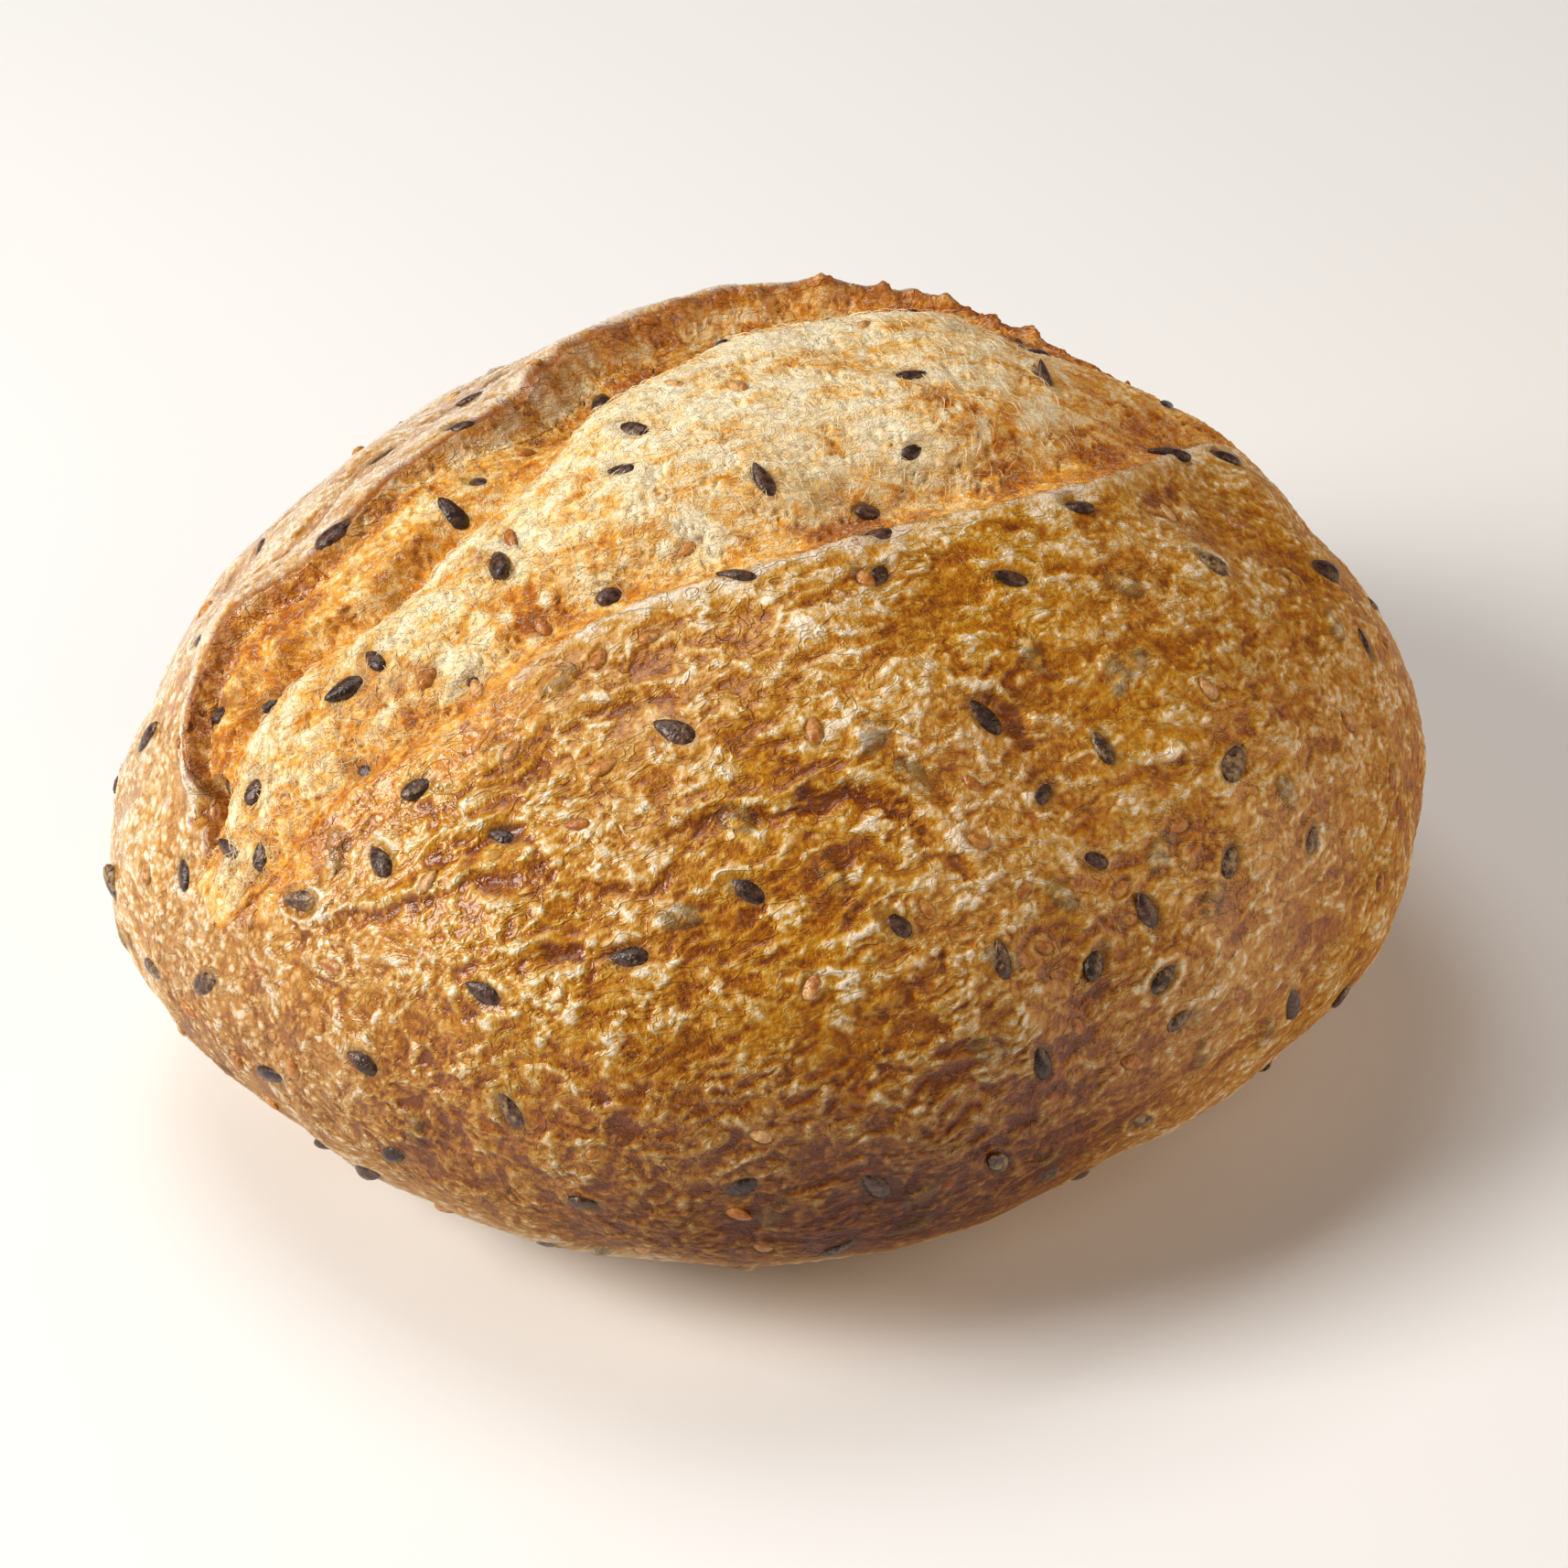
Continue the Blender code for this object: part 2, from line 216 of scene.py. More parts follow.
def waves(points, length, seed, count=12):
    """Seeded noise from about -1 to 1, whose lumps are about one length apart."""
    draw = np.random.default_rng(seed)
    ways = draw.normal(size=(count, 3))
    ways /= np.linalg.norm(ways, axis=1, keepdims=True)
    ways *= 2 * math.pi / (length * draw.uniform(0.7, 1.4, (count, 1)))
    turns = draw.uniform(0, 2 * math.pi, count)
    return np.sin(points @ ways.T + turns).sum(axis=-1) * 0.63 / math.sqrt(count)


def plain_loaf(along, around):
    """Points and outward normals of the loaf before its split opened."""
    s, t = np.radians(along), np.radians(around)
    way = np.stack([-np.cos(s), np.sin(s) * np.sin(t), np.sin(s) * np.cos(t)], -1)
    upper = way[..., 2] > 0
    height = np.where(upper, RISE, FALL)
    power = np.where(upper, DOME_POWER, UNDER_POWER)
    flat = np.maximum(np.hypot(way[..., 0], way[..., 1]), 1e-6)
    reach = (flat ** power + np.abs(way[..., 2]) ** power) ** (-1 / power)
    bearing = np.arctan2(way[..., 1], way[..., 0])
    swell = 1 + sum(share * np.cos(count * (bearing - math.radians(turn)))
                    for count, share, turn in PLAN_SWELLS)
    half = np.stack([LENGTH / 2 * swell, WIDTH / 2 * swell, height], -1)
    points = way * reach[..., None] * half + MIDDLE
    level = (flat * reach) ** (power - 2) * reach
    steep = (np.abs(way[..., 2]) * reach) ** (power - 1) * np.sign(way[..., 2])
    normals = np.stack([level * way[..., 0], level * way[..., 1], steep], -1) / half
    return points, normals / np.linalg.norm(normals, axis=-1, keepdims=True)


def gape(along):
    """How far the split is open at an along, 0 to 1."""
    start, end = SPLIT_ENDS
    return ramp(along, start - 3, start + 7) * (1 - ramp(along, end - 14, end))


def across_split(along, around):
    """Share of the way from the split's front lip to its back lip."""
    front = smooth_curve(along, FRONT_LIP)
    return (around - front) / (smooth_curve(along, BACK_LIP) - front)


def split_relief(along, around):
    """Height in mm over the plain loaf that the split gives: ear, valley and risen crumb."""
    front = smooth_curve(along, FRONT_LIP)
    back = smooth_curve(along, BACK_LIP)
    across = across_split(along, around)
    crumb = smooth_curve(across, CRUMBS[0])
    for knots, (low, high) in zip(CRUMBS[1:], TURNS):
        crumb += (smooth_curve(across, knots) - crumb) * ramp(along, low, high)
    ear = smooth_curve(along, EAR)
    wall = ear * ramp(across, EAR_WALL, 1) * (1 - ramp(around - back, 0, SHOULDER))
    level = np.where(across < 0, 1 - ramp(front - around, 0, 6), 1 - ramp(across, 1, 1.05))
    return gape(along) * (crumb * level + wall)


def spot_distance(points, along, around):
    """Distance in mm from a place on the plain loaf."""
    middle, _ = plain_loaf(np.array(along, float), np.array(around, float))
    return np.linalg.norm(points - middle, axis=-1) / MM


def skin(along, around, extra=0.0):
    """Points of the loaf's surface, as the CAD solid has it, and raised by extra mm."""
    points, normals = plain_loaf(along, around)
    height = split_relief(along, around) + extra
    for length, lift, seed in LUMPS:
        height = height + lift * waves(points, length * MM, seed)
    edge = band(around, smooth_curve(along, BACK_LIP), 3) * ramp(along, 40, 80)
    length, lift, seed = RAGGED
    height = height + edge * lift * waves(points, length * MM, seed)
    for spot_along, spot_around, radius, lift in SPOTS:
        far = spot_distance(points, spot_along, spot_around) / radius
        height = height + lift * (1 - ramp(far, 0.2, 1.2))
    points = points + normals * (height * MM)[..., None]
    z = points[..., 2]
    blend = (z + SOLE_BLEND) ** 2 / (4 * SOLE_BLEND)
    points[..., 2] = np.where(z < -SOLE_BLEND, 0, np.where(z > SOLE_BLEND, z, blend))
    return points


def skin_point(along, around):
    """One point of the loaf's surface."""
    return skin(np.array(along, float), np.array(around, float))


def crowded(share, crowding):
    """Shares from 0 to 1, moved towards both ends."""
    return share * (1 - crowding) + crowding * (1 - np.cos(math.pi * share)) / 2


def random_place(draw):
    """A random (along, around, turn)."""
    return math.degrees(math.acos(draw.uniform(-1, 1))), draw.uniform(-180, 180), draw.uniform(0, 180)


def clearance(middle, others):
    """How far a point is from the nearest of the others."""
    return min(np.linalg.norm(middle - other) for other in others)


def seed_places():
    """The shown seeds and others at seeded random places clear of them, as (along, around, turn)."""
    chosen = list(SHOWN_SEEDS)
    middles = [skin_point(along, around) for along, around, _ in chosen]
    draw = np.random.default_rng(5)
    while len(chosen) < SEED_COUNT:
        place = random_place(draw)
        middle = skin_point(*place[:2])
        if clearance(middle, middles) > SEED_GAP * draw.uniform(1, 1.6) and middle[2] > SEED_FLOOR:
            chosen.append(place)
            middles.append(middle)
    return chosen


def linear(code, alpha=1.0):
    """An sRGB hex colour as linear values."""
    parts = [int(code[i:i + 2], 16) / 255 for i in (0, 2, 4)]
    return tuple(v / 12.92 if v <= 0.04045 else ((v + 0.055) / 1.055) ** 2.4 for v in parts) + (alpha,)


def add(tree, kind, feeds=None, out=0, **settings):
    """Adds a node with its settings and gives one of its outputs. Each feed is a value, or an output to link,
    for one of the node's inputs."""
    node = tree.nodes.new(kind)
    for name, value in settings.items():
        setattr(node, name, value)
    for socket, source in (feeds or {}).items():
        if isinstance(source, bpy.types.NodeSocket):
            tree.links.new(source, node.inputs[socket])
        else:
            node.inputs[socket].default_value = source
    return node.outputs[out] if node.outputs else None


def uneven(tree, **feeds):
    """Noise about 0, from the noise texture's inputs."""
    noise = add(tree, "ShaderNodeTexNoise", feeds, noise_dimensions="4D" if "W" in feeds else "3D")
    return add(tree, "ShaderNodeMath", {0: noise, 1: 0.5}, operation="SUBTRACT")


def crest_lines(tree, width, **feeds):
    """Thin wandering lines where a noise passes its middle, 1 on the line and 0 from its width on."""
    off = add(tree, "ShaderNodeMath", {0: uneven(tree, **feeds)}, operation="ABSOLUTE")
    return add(tree, "ShaderNodeMapRange", {"Value": off, "From Max": width, "To Min": 1.0, "To Max": 0.0},
               interpolation_type="SMOOTHSTEP")


def summed(tree, level, parts):
    """A level with the share of each part added to it."""
    for part, share in parts:
        level = add(tree, "ShaderNodeMath", {0: part, 1: share, 2: level}, operation="MULTIPLY_ADD")
    return level


def grid_places():
    """Along and around of every row and column of the skin's mesh, without the two end points."""
    rows = np.linspace(0, 180, ROWS + 1)[1:-1, None]
    front = smooth_curve(rows, FRONT_LIP)
    back = smooth_curve(rows, BACK_LIP)
    split = front + (back - front) * crowded(np.arange(CRUMB_COLUMNS) / CRUMB_COLUMNS, LIP_CROWDING)
    behind = back + (SIDE - back) * np.arange(BACK_COLUMNS) / BACK_COLUMNS
    under = SIDE + (360 - 2 * SIDE) * (np.arange(UNDER_COLUMNS) / UNDER_COLUMNS) + 0 * rows
    before = 360 - SIDE + (front + SIDE) * np.arange(FRONT_COLUMNS) / FRONT_COLUMNS
    around = np.concatenate([split, behind, under, before], 1)
    return np.broadcast_to(rows, around.shape), np.where(around > 180, around - 360, around)


def with_ends(inner, first, last):
    """A grid's values as one list with the two end points' values before and after them."""
    return np.concatenate([[first], inner.reshape(-1, *inner.shape[2:]), [last]])


def fold_relief(points, along, around):
    """Height in mm of the front crust's folds, and how far each point lies in a trough."""
    height = np.zeros(along.shape)
    trough = np.zeros(along.shape)
    wander = points + np.stack([waves(points, 5 * MM, seed) for seed in (31, 32, 33)], -1) * 0.7 * MM
    for lift, half, places in FOLDS:
        line = np.array(places, float)
        near = np.abs(along - line[:, 0].mean()) < np.ptp(line[:, 0]) / 2 + 8
        near &= np.abs(around - line[:, 1].mean()) < np.ptp(line[:, 1]) / 2 + 8
        here = wander[near]
        knots, _ = plain_loaf(line[:, 0], line[:, 1])
        best = np.full(len(here), 1e9)
        side = np.zeros(len(here))
        taper = np.zeros(len(here))
        for i in range(len(knots) - 1):
            way = knots[i + 1] - knots[i]
            share = np.clip((here - knots[i]) @ way / (way @ way), 0, 1)
            off = here - knots[i] - share[:, None] * way
            far = np.linalg.norm(off, axis=1)
            closer = far < best
            best = np.where(closer, far, best)
            reached = (i + share) / (len(knots) - 1)
            taper = np.where(closer, np.sin(math.pi * np.clip(reached, 0.04, 0.96)) ** 0.5, taper)
            side = np.where(closer, off[:, 2], side)
        best /= MM
        lower = ramp(-side / MM, 0, 0.8)
        crest = 0.7 * np.exp(-(best / half) ** 1.5)
        dip = band(best, 2.2 * half, 1.6 * half) * lower
        height[near] += lift * taper * (crest - 0.55 * dip)
        trough[near] = np.maximum(trough[near], dip * taper * min(1, lift / 0.7))
    return height, trough


def blurred(values, reach):
    """A grid's values, averaged over a square of reach cells each way, twice."""
    for _ in range(2):
        for axis in (0, 1):
            pad = [(0, 0)] * values.ndim
            pad[axis] = (reach + 1, reach)
            wide = np.cumsum(np.pad(values, pad, mode="wrap" if axis else "edge"), axis=axis)
            width = 2 * reach + 1
            high = np.take(wide, np.arange(width, wide.shape[axis]), axis=axis)
            low = np.take(wide, np.arange(0, wide.shape[axis] - width), axis=axis)
            values = (high - low) / width
    return values


def mesh_from(name, points, faces):
    """A smooth mesh from points and lists of three- and four-sided faces."""
    mesh = bpy.data.meshes.new(name)
    sizes = np.concatenate([np.full(len(part), part.shape[1]) for part in faces])
    corners = np.concatenate([part.ravel() for part in faces])
    mesh.vertices.add(len(points))
    mesh.vertices.foreach_set("co", np.asarray(points, np.float32).ravel())
    mesh.loops.add(len(corners))
    mesh.loops.foreach_set("vertex_index", corners.astype(np.int32))
    mesh.polygons.add(len(sizes))
    mesh.polygons.foreach_set("loop_start", (np.cumsum(sizes) - sizes).astype(np.int32))
    mesh.update(calc_edges=True)
    mesh.polygons.foreach_set("use_smooth", np.ones(len(sizes), bool))
    return mesh


def put_values(mesh, values):
    """Stores named lists of values or vectors on a mesh's points."""
    for name, data in values.items():
        kind, what = ("FLOAT_VECTOR", "vector") if data.ndim == 2 else ("FLOAT", "value")
        store = mesh.attributes.new(name, kind, "POINT")
        store.data.foreach_set(what, np.asarray(data, np.float32).ravel())


def read_values(mesh, name):
    """One named list of values from a mesh's points."""
    data = np.zeros(len(mesh.vertices), np.float32)
    mesh.attributes[name].data.foreach_get("value", data)
    return data


def read_vectors(store, what):
    """One named vector of each thing in a mesh's list."""
    data = np.zeros(len(store) * 3, np.float32)
    store.foreach_get(what, data)
    return data.reshape(-1, 3).astype(float)


def toasting(points, along, across):
    """How far each place of the crumb is toasted, 0 to 1: golden at its edges, its valley and its right end,
    scorched on the listed spots."""
    left = 1 - ramp(along, 70, 96)
    # by the front lip
    toast = 0.16 + 0.2 * ramp(across, 0.03, 0.0) + 0.24 * (1 - ramp(across, 0.03, 0.15))
    # the step at the left
    toast += left * (0.34 * band(across, 0.655, 0.055) + 0.2 * ramp(across, 0.70, 0.78))
    toast += left * 0.34 * band(across, 0.735, 0.02) * (0.6 + 0.7 * waves(points, 4 * MM, 72))
    # the valley, the right end and the foot of the step at the far left
    toast += 0.32 * ramp(across, 0.66, 0.80) * ramp(along, 70, 90)
    toast += 0.24 * ramp(along, 106, 134) + 0.12 * (1 - ramp(along, 38, 54)) * ramp(across, 0.64, 0.7)
    # the ear's inner wall
    toast += 0.08 * left * ramp(across, EAR_WALL - 0.01, EAR_WALL + 0.03)
    toast -= 0.12 * ramp(across, 0.91, 0.95) * ramp(along, 44, 60)
    toast += 0.24 * ramp(across, 0.955, 0.99) * ramp(along, 78, 100)
    # more in the middle of the valley, towards the right, and at the far left
    toast += 0.2 * ramp(across, 0.66, 0.74) * (1 - ramp(across, 0.91, 0.94)) * ramp(along, 60, 76)
    toast += 0.05 * ramp(along, 90, 120)
    toast += 0.2 * (1 - ramp(along, 36, 60)) * (1 - ramp(across, 0.45, 0.6))
    for spot_along, spot_around, radius, amount in TOASTED:
        far = spot_distance(points, spot_along, spot_around) / radius
        toast += 0.55 * amount * np.exp(-far ** 2 * 1.2) * (0.7 + 0.7 * waves(points, 2.6 * MM, 71))
    return np.clip(toast, 0, 1)


def placed(name, data):
    """A new object in the scene that shows a mesh, a light or a camera."""
    thing = bpy.data.objects.new(name, data)
    bpy.context.scene.collection.objects.link(thing)
    return thing


def relief_tree():
    """Raises the skin: bubbles, crinkles and folds on the crust, cells and fluff on the crumb."""
    tree = bpy.data.node_groups.new("skin relief", "GeometryNodeTree")
    tree.interface.new_socket("Geometry", in_out="OUTPUT", socket_type="NodeSocketGeometry")
    tree.interface.new_socket("Geometry", in_out="INPUT", socket_type="NodeSocketGeometry")
    for name, value in RELIEF_SIZES.items():
        tree.interface.new_socket(name, in_out="INPUT", socket_type="NodeSocketFloat").default_value = value
    tree.interface.new_socket("Skin", in_out="INPUT", socket_type="NodeSocketMaterial")
    given = add(tree, "NodeGroupInput").node.outputs
    # a texture's scale is the inverse of its pattern's size
    per_bubble, per_crinkle, per_fold, per_cell, per_fibre, per_zone = (
        add(tree, "ShaderNodeMath", {0: 1.0, 1: given[name]}, operation="DIVIDE") for name in RELIEF_SIZES)
    place = add(tree, "GeometryNodeInputPosition")
    normal = add(tree, "GeometryNodeInputNormal")
    crumb, film, calm = (add(tree, "GeometryNodeInputNamedAttribute", {"Name": name})
                         for name in ("crumb", "film", "calm"))

    # a slow wander keeps every pattern off straight lines
    drift = add(tree, "ShaderNodeTexNoise", {"Vector": place, "W": 3.0, "Scale": 190, "Detail": 2}, out="Color",
                noise_dimensions="4D")
    drift = add(tree, "ShaderNodeVectorMath", {0: drift, 1: (0.5, 0.5, 0.5)}, operation="SUBTRACT")
    drift = add(tree, "ShaderNodeVectorMath", {0: drift, "Scale": 0.0045}, operation="SCALE")
    wander = add(tree, "ShaderNodeVectorMath", {0: place, 1: drift}, operation="ADD")
    # the folds of the crust run along the score
    turned = add(tree, "ShaderNodeVectorRotate", {"Vector": wander, "Rotation": (0, 0.1, -0.12)},
                 rotation_type="EULER_XYZ")
    long_way, short_way = (
        add(tree, "ShaderNodeVectorMath", {0: turned, 1: (share, 1, 1)}, operation="MULTIPLY")
        for share in (0.36, 0.6))

    # folds: broad crests where a noise passes its middle
    folds = uneven(tree, Vector=long_way, W=7.0, Scale=per_fold, Detail=2.5, Roughness=0.5)
    folds = add(tree, "ShaderNodeMath", {0: folds}, operation="ABSOLUTE")
    folds = add(tree, "ShaderNodeMapRange", {"Value": folds, "From Max": 0.15, "To Min": 1.0, "To Max": 0.0})
    folds = add(tree, "ShaderNodeMath", {0: folds, 1: 1.5}, operation="POWER")

    # blistered zones, 1, and smooth, sunken zones of the film, 0
    zone = add(tree, "ShaderNodeTexNoise",
               {"Vector": short_way, "W": 1.0, "Scale": per_zone, "Detail": 3, "Roughness": 0.55},
               noise_dimensions="4D")
    zone = add(tree, "ShaderNodeMapRange", {"Value": zone, "From Min": 0.43, "From Max": 0.57},
               interpolation_type="SMOOTHSTEP")

    # crinkles: thin broken crests
    crinkle = crest_lines(tree, 0.055, Vector=long_way, W=9.0, Scale=per_crinkle, Detail=2, Distortion=0.3)
    broken = add(tree, "ShaderNodeTexNoise", {"Vector": place, "W": 5.0, "Scale": 260, "Detail": 2},
                 noise_dimensions="4D")
    broken = add(tree, "ShaderNodeMapRange", {"Value": broken, "From Min": 0.44, "From Max": 0.58},
                 interpolation_type="SMOOTHSTEP")
    crinkle = add(tree, "ShaderNodeMath", {0: crinkle, 1: broken}, operation="MULTIPLY")

    # bubbles: small domes of uneven size
    bubble = add(tree, "ShaderNodeTexVoronoi", {"Vector": wander, "Scale": per_bubble}, out="Distance",
                 feature="F1")
    size = add(tree, "ShaderNodeSeparateXYZ", {0: bubble.node.outputs["Color"]}, out=1)
    reach = add(tree, "ShaderNodeMapRange", {"Value": size, "To Min": 0.2, "To Max": 0.85})
    dome = add(tree, "ShaderNodeMath", {0: bubble, 1: reach}, operation="DIVIDE")
    dome = add(tree, "ShaderNodeMath", {0: dome, 1: dome}, operation="MULTIPLY")
    dome = add(tree, "ShaderNodeMath", {0: 1.0, 1: dome}, operation="SUBTRACT", use_clamp=True)
    dome = add(tree, "ShaderNodeMath", {0: dome, 1: reach}, operation="MULTIPLY")

    # the crust's height in mm: each shape's height grows with the film, and in the blistered zones
    crust = -0.25
    for shape, (low, high), in_smooth_zone in ((folds, (0.04, 0.34), 0.6), (crinkle, (0.03, 0.17), 0.3)):
        by_film = add(tree, "ShaderNodeMapRange", {"Value": film, "To Min": low, "To Max": high})
        by_zone = add(tree, "ShaderNodeMapRange", {"Value": zone, "To Min": in_smooth_zone, "To Max": 1.0})
        height = add(tree, "ShaderNodeMath", {0: by_film, 1: by_zone}, operation="MULTIPLY")
        crust = summed(tree, crust, [(shape, height)])
    bubble_height = add(tree, "ShaderNodeMapRange", {"Value": zone, "To Min": 0.04, "To Max": 0.22})
    crust = summed(tree, crust, [(dome, bubble_height), (zone, 0.12)])

    # the crumb's height in mm: open cells between walls, and fluff
    cells = add(tree, "ShaderNodeTexVoronoi", {"Vector": wander, "Scale": per_cell}, out="Distance",
                feature="DISTANCE_TO_EDGE")
    walls = add(tree, "ShaderNodeMapRange", {"Value": cells, "From Min": 0.02, "From Max": 0.34, "To Min": 0.0,
                                             "To Max": -0.5}, interpolation_type="SMOOTHSTEP")
    open_cells = add(tree, "ShaderNodeTexNoise", {"Vector": place, "W": 11.0, "Scale": 330, "Detail": 2},
                     noise_dimensions="4D")
    open_cells = add(tree, "ShaderNodeMapRange", {"Value": open_cells, "From Min": 0.46, "From Max": 0.62},
                     interpolation_type="SMOOTHSTEP")
    fluff = uneven(tree, Vector=wander, W=13.0, Scale=per_fibre, Detail=4, Roughness=0.66)
    swell = uneven(tree, Vector=wander, W=17.0, Scale=300, Detail=3)
    torn = add(tree, "ShaderNodeMath", {0: walls, 1: open_cells}, operation="MULTIPLY")
    torn = summed(tree, torn, [(fluff, 0.85), (swell, 1.0)])

    height = add(tree, "ShaderNodeMix", {0: crumb, 2: crust, 3: torn}, data_type="FLOAT")
    height = add(tree, "ShaderNodeMath", {0: height, 1: calm}, operation="MULTIPLY")
    height = add(tree, "ShaderNodeMath", {0: height, 1: MM}, operation="MULTIPLY")
    offset = add(tree, "ShaderNodeVectorMath", {0: normal, "Scale": height}, operation="SCALE")
    kept = given["Geometry"]
    for name, value in (("bubble", dome), ("crinkle", crinkle), ("fold", folds), ("zone", zone)):
        kept = add(tree, "GeometryNodeStoreNamedAttribute", {"Geometry": kept, "Name": name, "Value": value})
    moved = add(tree, "GeometryNodeSetPosition", {"Geometry": kept, "Offset": offset})
    real = add(tree, "GeometryNodeRealizeInstances", {"Geometry": moved})
    done = add(tree, "GeometryNodeSetMaterial", {"Geometry": real, "Material": given["Skin"]})
    add(tree, "NodeGroupOutput", {0: done})
    return tree


def grown(name, mesh, tree, **inputs):
    """A mesh with a geometry tree's result, as a plain mesh."""
    holder = placed(name, mesh)
    grow = holder.modifiers.new(name, "NODES")
    grow.node_group = tree
    for socket in tree.interface.items_tree:
        if socket.in_out == "INPUT" and socket.name.lower() in inputs:
            grow[socket.identifier] = inputs[socket.name.lower()]
    made = bpy.data.meshes.new_from_object(holder.evaluated_get(bpy.context.evaluated_depsgraph_get()))
    bpy.data.objects.remove(holder)
    return made


def seed_frame(place):
    """Middle, lengthwise and outward directions of a seed that lies on the plain skin."""
    along, around, turn = place
    step = 0.5
    here = skin_point(along, around)
    onward = skin_point(along + step, around) - here
    sideways = skin_point(along, around + step) - here
    out = np.cross(onward, sideways)
    out /= np.linalg.norm(out)
    lengthwise = onward / np.linalg.norm(onward) * math.cos(math.radians(turn))
    lengthwise += sideways / np.linalg.norm(sideways) * math.sin(math.radians(turn))
    lengthwise -= out * (lengthwise @ out)
    return here, lengthwise / np.linalg.norm(lengthwise), out


def nestle(points, tree, seeds, sink):
    """What seeds do to the skin: the height in mm, with a dip under each and a raised collar of film round some,
    how far each point is under a seed, and how far it is on a collar."""
    height = np.zeros(len(points))
    shade = np.zeros(len(points))
    ring = np.zeros(len(points))
    for (middle, lengthwise, out), length, width, collar in seeds:
        near = np.array([i for _, i, _ in tree.find_range(Vector(middle), length * 1.5)])
        if not len(near):
            continue
        off = points[near] - middle
        a = off @ lengthwise / (length / 2)
        b = off @ np.cross(out, lengthwise) / (width / 2)
        far = np.sqrt(a * a + b * b)
        round_it = band(far, 1.3, 0.2) * ramp(waves(points[near], 2.4 * MM, 39, 20), -0.9, 0.3)
        height[near] += collar * round_it - sink * np.exp(-(far / 0.8) ** 4)
        ring[near] = np.maximum(ring[near], round_it * min(1, collar / 0.3))
        shade[near] = np.maximum(shade[near], band(np.maximum(far - 0.95, 0), 0, 0.12))
    return height, shade, ring


def skin_pieces(names, points, normals, quads, caps, label_quads, label_caps, values, materials):
    """Cuts the skin into closed pieces, each closed by a fan to the heart of the loaf."""
    made = []
    for number, name in enumerate(names):
        part = [quads[label_quads == number], caps[label_caps == number]]
        edges = np.concatenate([np.stack([face, np.roll(face, -1, 1)], -1).reshape(-1, 2) for face in part])
        count = len(points)
        forward = edges[:, 0].astype(np.int64) * count + edges[:, 1]
        backward = edges[:, 1].astype(np.int64) * count + edges[:, 0]
        rim = edges[~np.isin(forward, backward)]
        used = np.unique(edges)
        index = np.full(count, -1)
        index[used] = np.arange(len(used))
        fan = np.stack([index[rim[:, 1]], index[rim[:, 0]], np.full(len(rim), len(used))], 1)
        faces = [index[face] for face in part if len(face)] + [fan]
        mesh = mesh_from(name, np.vstack([points[used], HEART]), faces)
        put_values(mesh, {key: np.append(data[used], 0) if data.ndim == 1 else np.vstack([data[used], (0, 0, 0)])
                          for key, data in values.items()})
        mesh.normals_split_custom_set_from_vertices(np.vstack([normals[used], (0, 0, 1)]).tolist())
        mesh.materials.append(materials[number])
        made.append(placed(name, mesh))
    return made


def new_material(name, constants):
    """A material, its node tree, its shader's inputs with the constant ones set, and the place on the object."""
    material = bpy.data.materials.new(name)
    material.use_nodes = True
    tree = material.node_tree
    inputs = tree.nodes["Principled BSDF"].inputs
    for socket, value in constants.items():
        inputs[socket].default_value = value
    return material, tree, inputs, add(tree, "ShaderNodeTexCoord", out="Object")


def ramped(tree, level, stops):
    """Colour by level, through (level, hex colour) stops."""
    colour = add(tree, "ShaderNodeValToRGB", {0: level})
    elements = colour.node.color_ramp.elements
    for number, (at, code) in enumerate(stops):
        stop = elements[number] if number < 2 else elements.new(at)
        stop.position = at
        stop.color = linear(code)
    return colour


def mixed(tree, share, first, code, blend="MIX"):
    """A colour with a share of a hex colour mixed into it."""
    return add(tree, "ShaderNodeMix", {0: share, 6: first, 7: linear(code)}, out=2, data_type="RGBA",
               blend_type=blend)


def toasted_colour(tree, place):
    """Colour of torn crumb and its fibres: cream, then golden, then scorched as it is toasted. The patches are
    fibrous and run along the score, as the dough was pulled. Hollows are darkened by painted shade, and the pale
    fibre lines are partly the fibres' own colour and partly painted highlight."""
    hollow, toast = (add(tree, "ShaderNodeAttribute", out="Fac", attribute_name=name)
                     for name in ("hollow", "toast"))
    pulled = add(tree, "ShaderNodeMapping", {"Vector": place, "Rotation": (0, 0.1, -0.1), "Scale": (1.7, 1, 1)},
                 vector_type="TEXTURE")
    patch = uneven(tree, Vector=pulled, Scale=300, Detail=6, Roughness=0.68, Distortion=0.7)
    scorch = add(tree, "ShaderNodeTexNoise",
                 {"Vector": pulled, "W": 3.0, "Scale": 230, "Detail": 6, "Roughness": 0.72, "Distortion": 0.9},
                 noise_dimensions="4D")
    scorch = add(tree, "ShaderNodeMapRange", {"Value": scorch, "From Min": 0.53, "From Max": 0.72, "To Max": 0.5})
    grit = uneven(tree, Vector=pulled, Scale=1500, Detail=3, Roughness=0.62)
    coarse = add(tree, "ShaderNodeMath", {0: toast, 1: 0.9, 2: 0.3}, operation="MULTIPLY_ADD")
    # hollows a little darker: painted shade
    level = summed(tree, toast, [(patch, 2.0), (scorch, 1.0), (grit, coarse), (hollow, -0.3)])
    colour = ramped(tree, level, ((0.05, "FFF0D0"), (0.24, "F9DAA0"), (0.44, "E9AC46"), (0.64, "D08420"),
                                  (0.92, "A8590B")))
    fibres = crest_lines(tree, 0.05, Vector=pulled, Scale=900, Detail=2, Distortion=1.1)
    # pale fibre lines, partly the fibres' own colour and partly painted highlight
    lighter = add(tree, "ShaderNodeMath", {0: fibres, 1: 0.38}, operation="MULTIPLY")
    return mixed(tree, lighter, colour, "FFEED0"), fibres


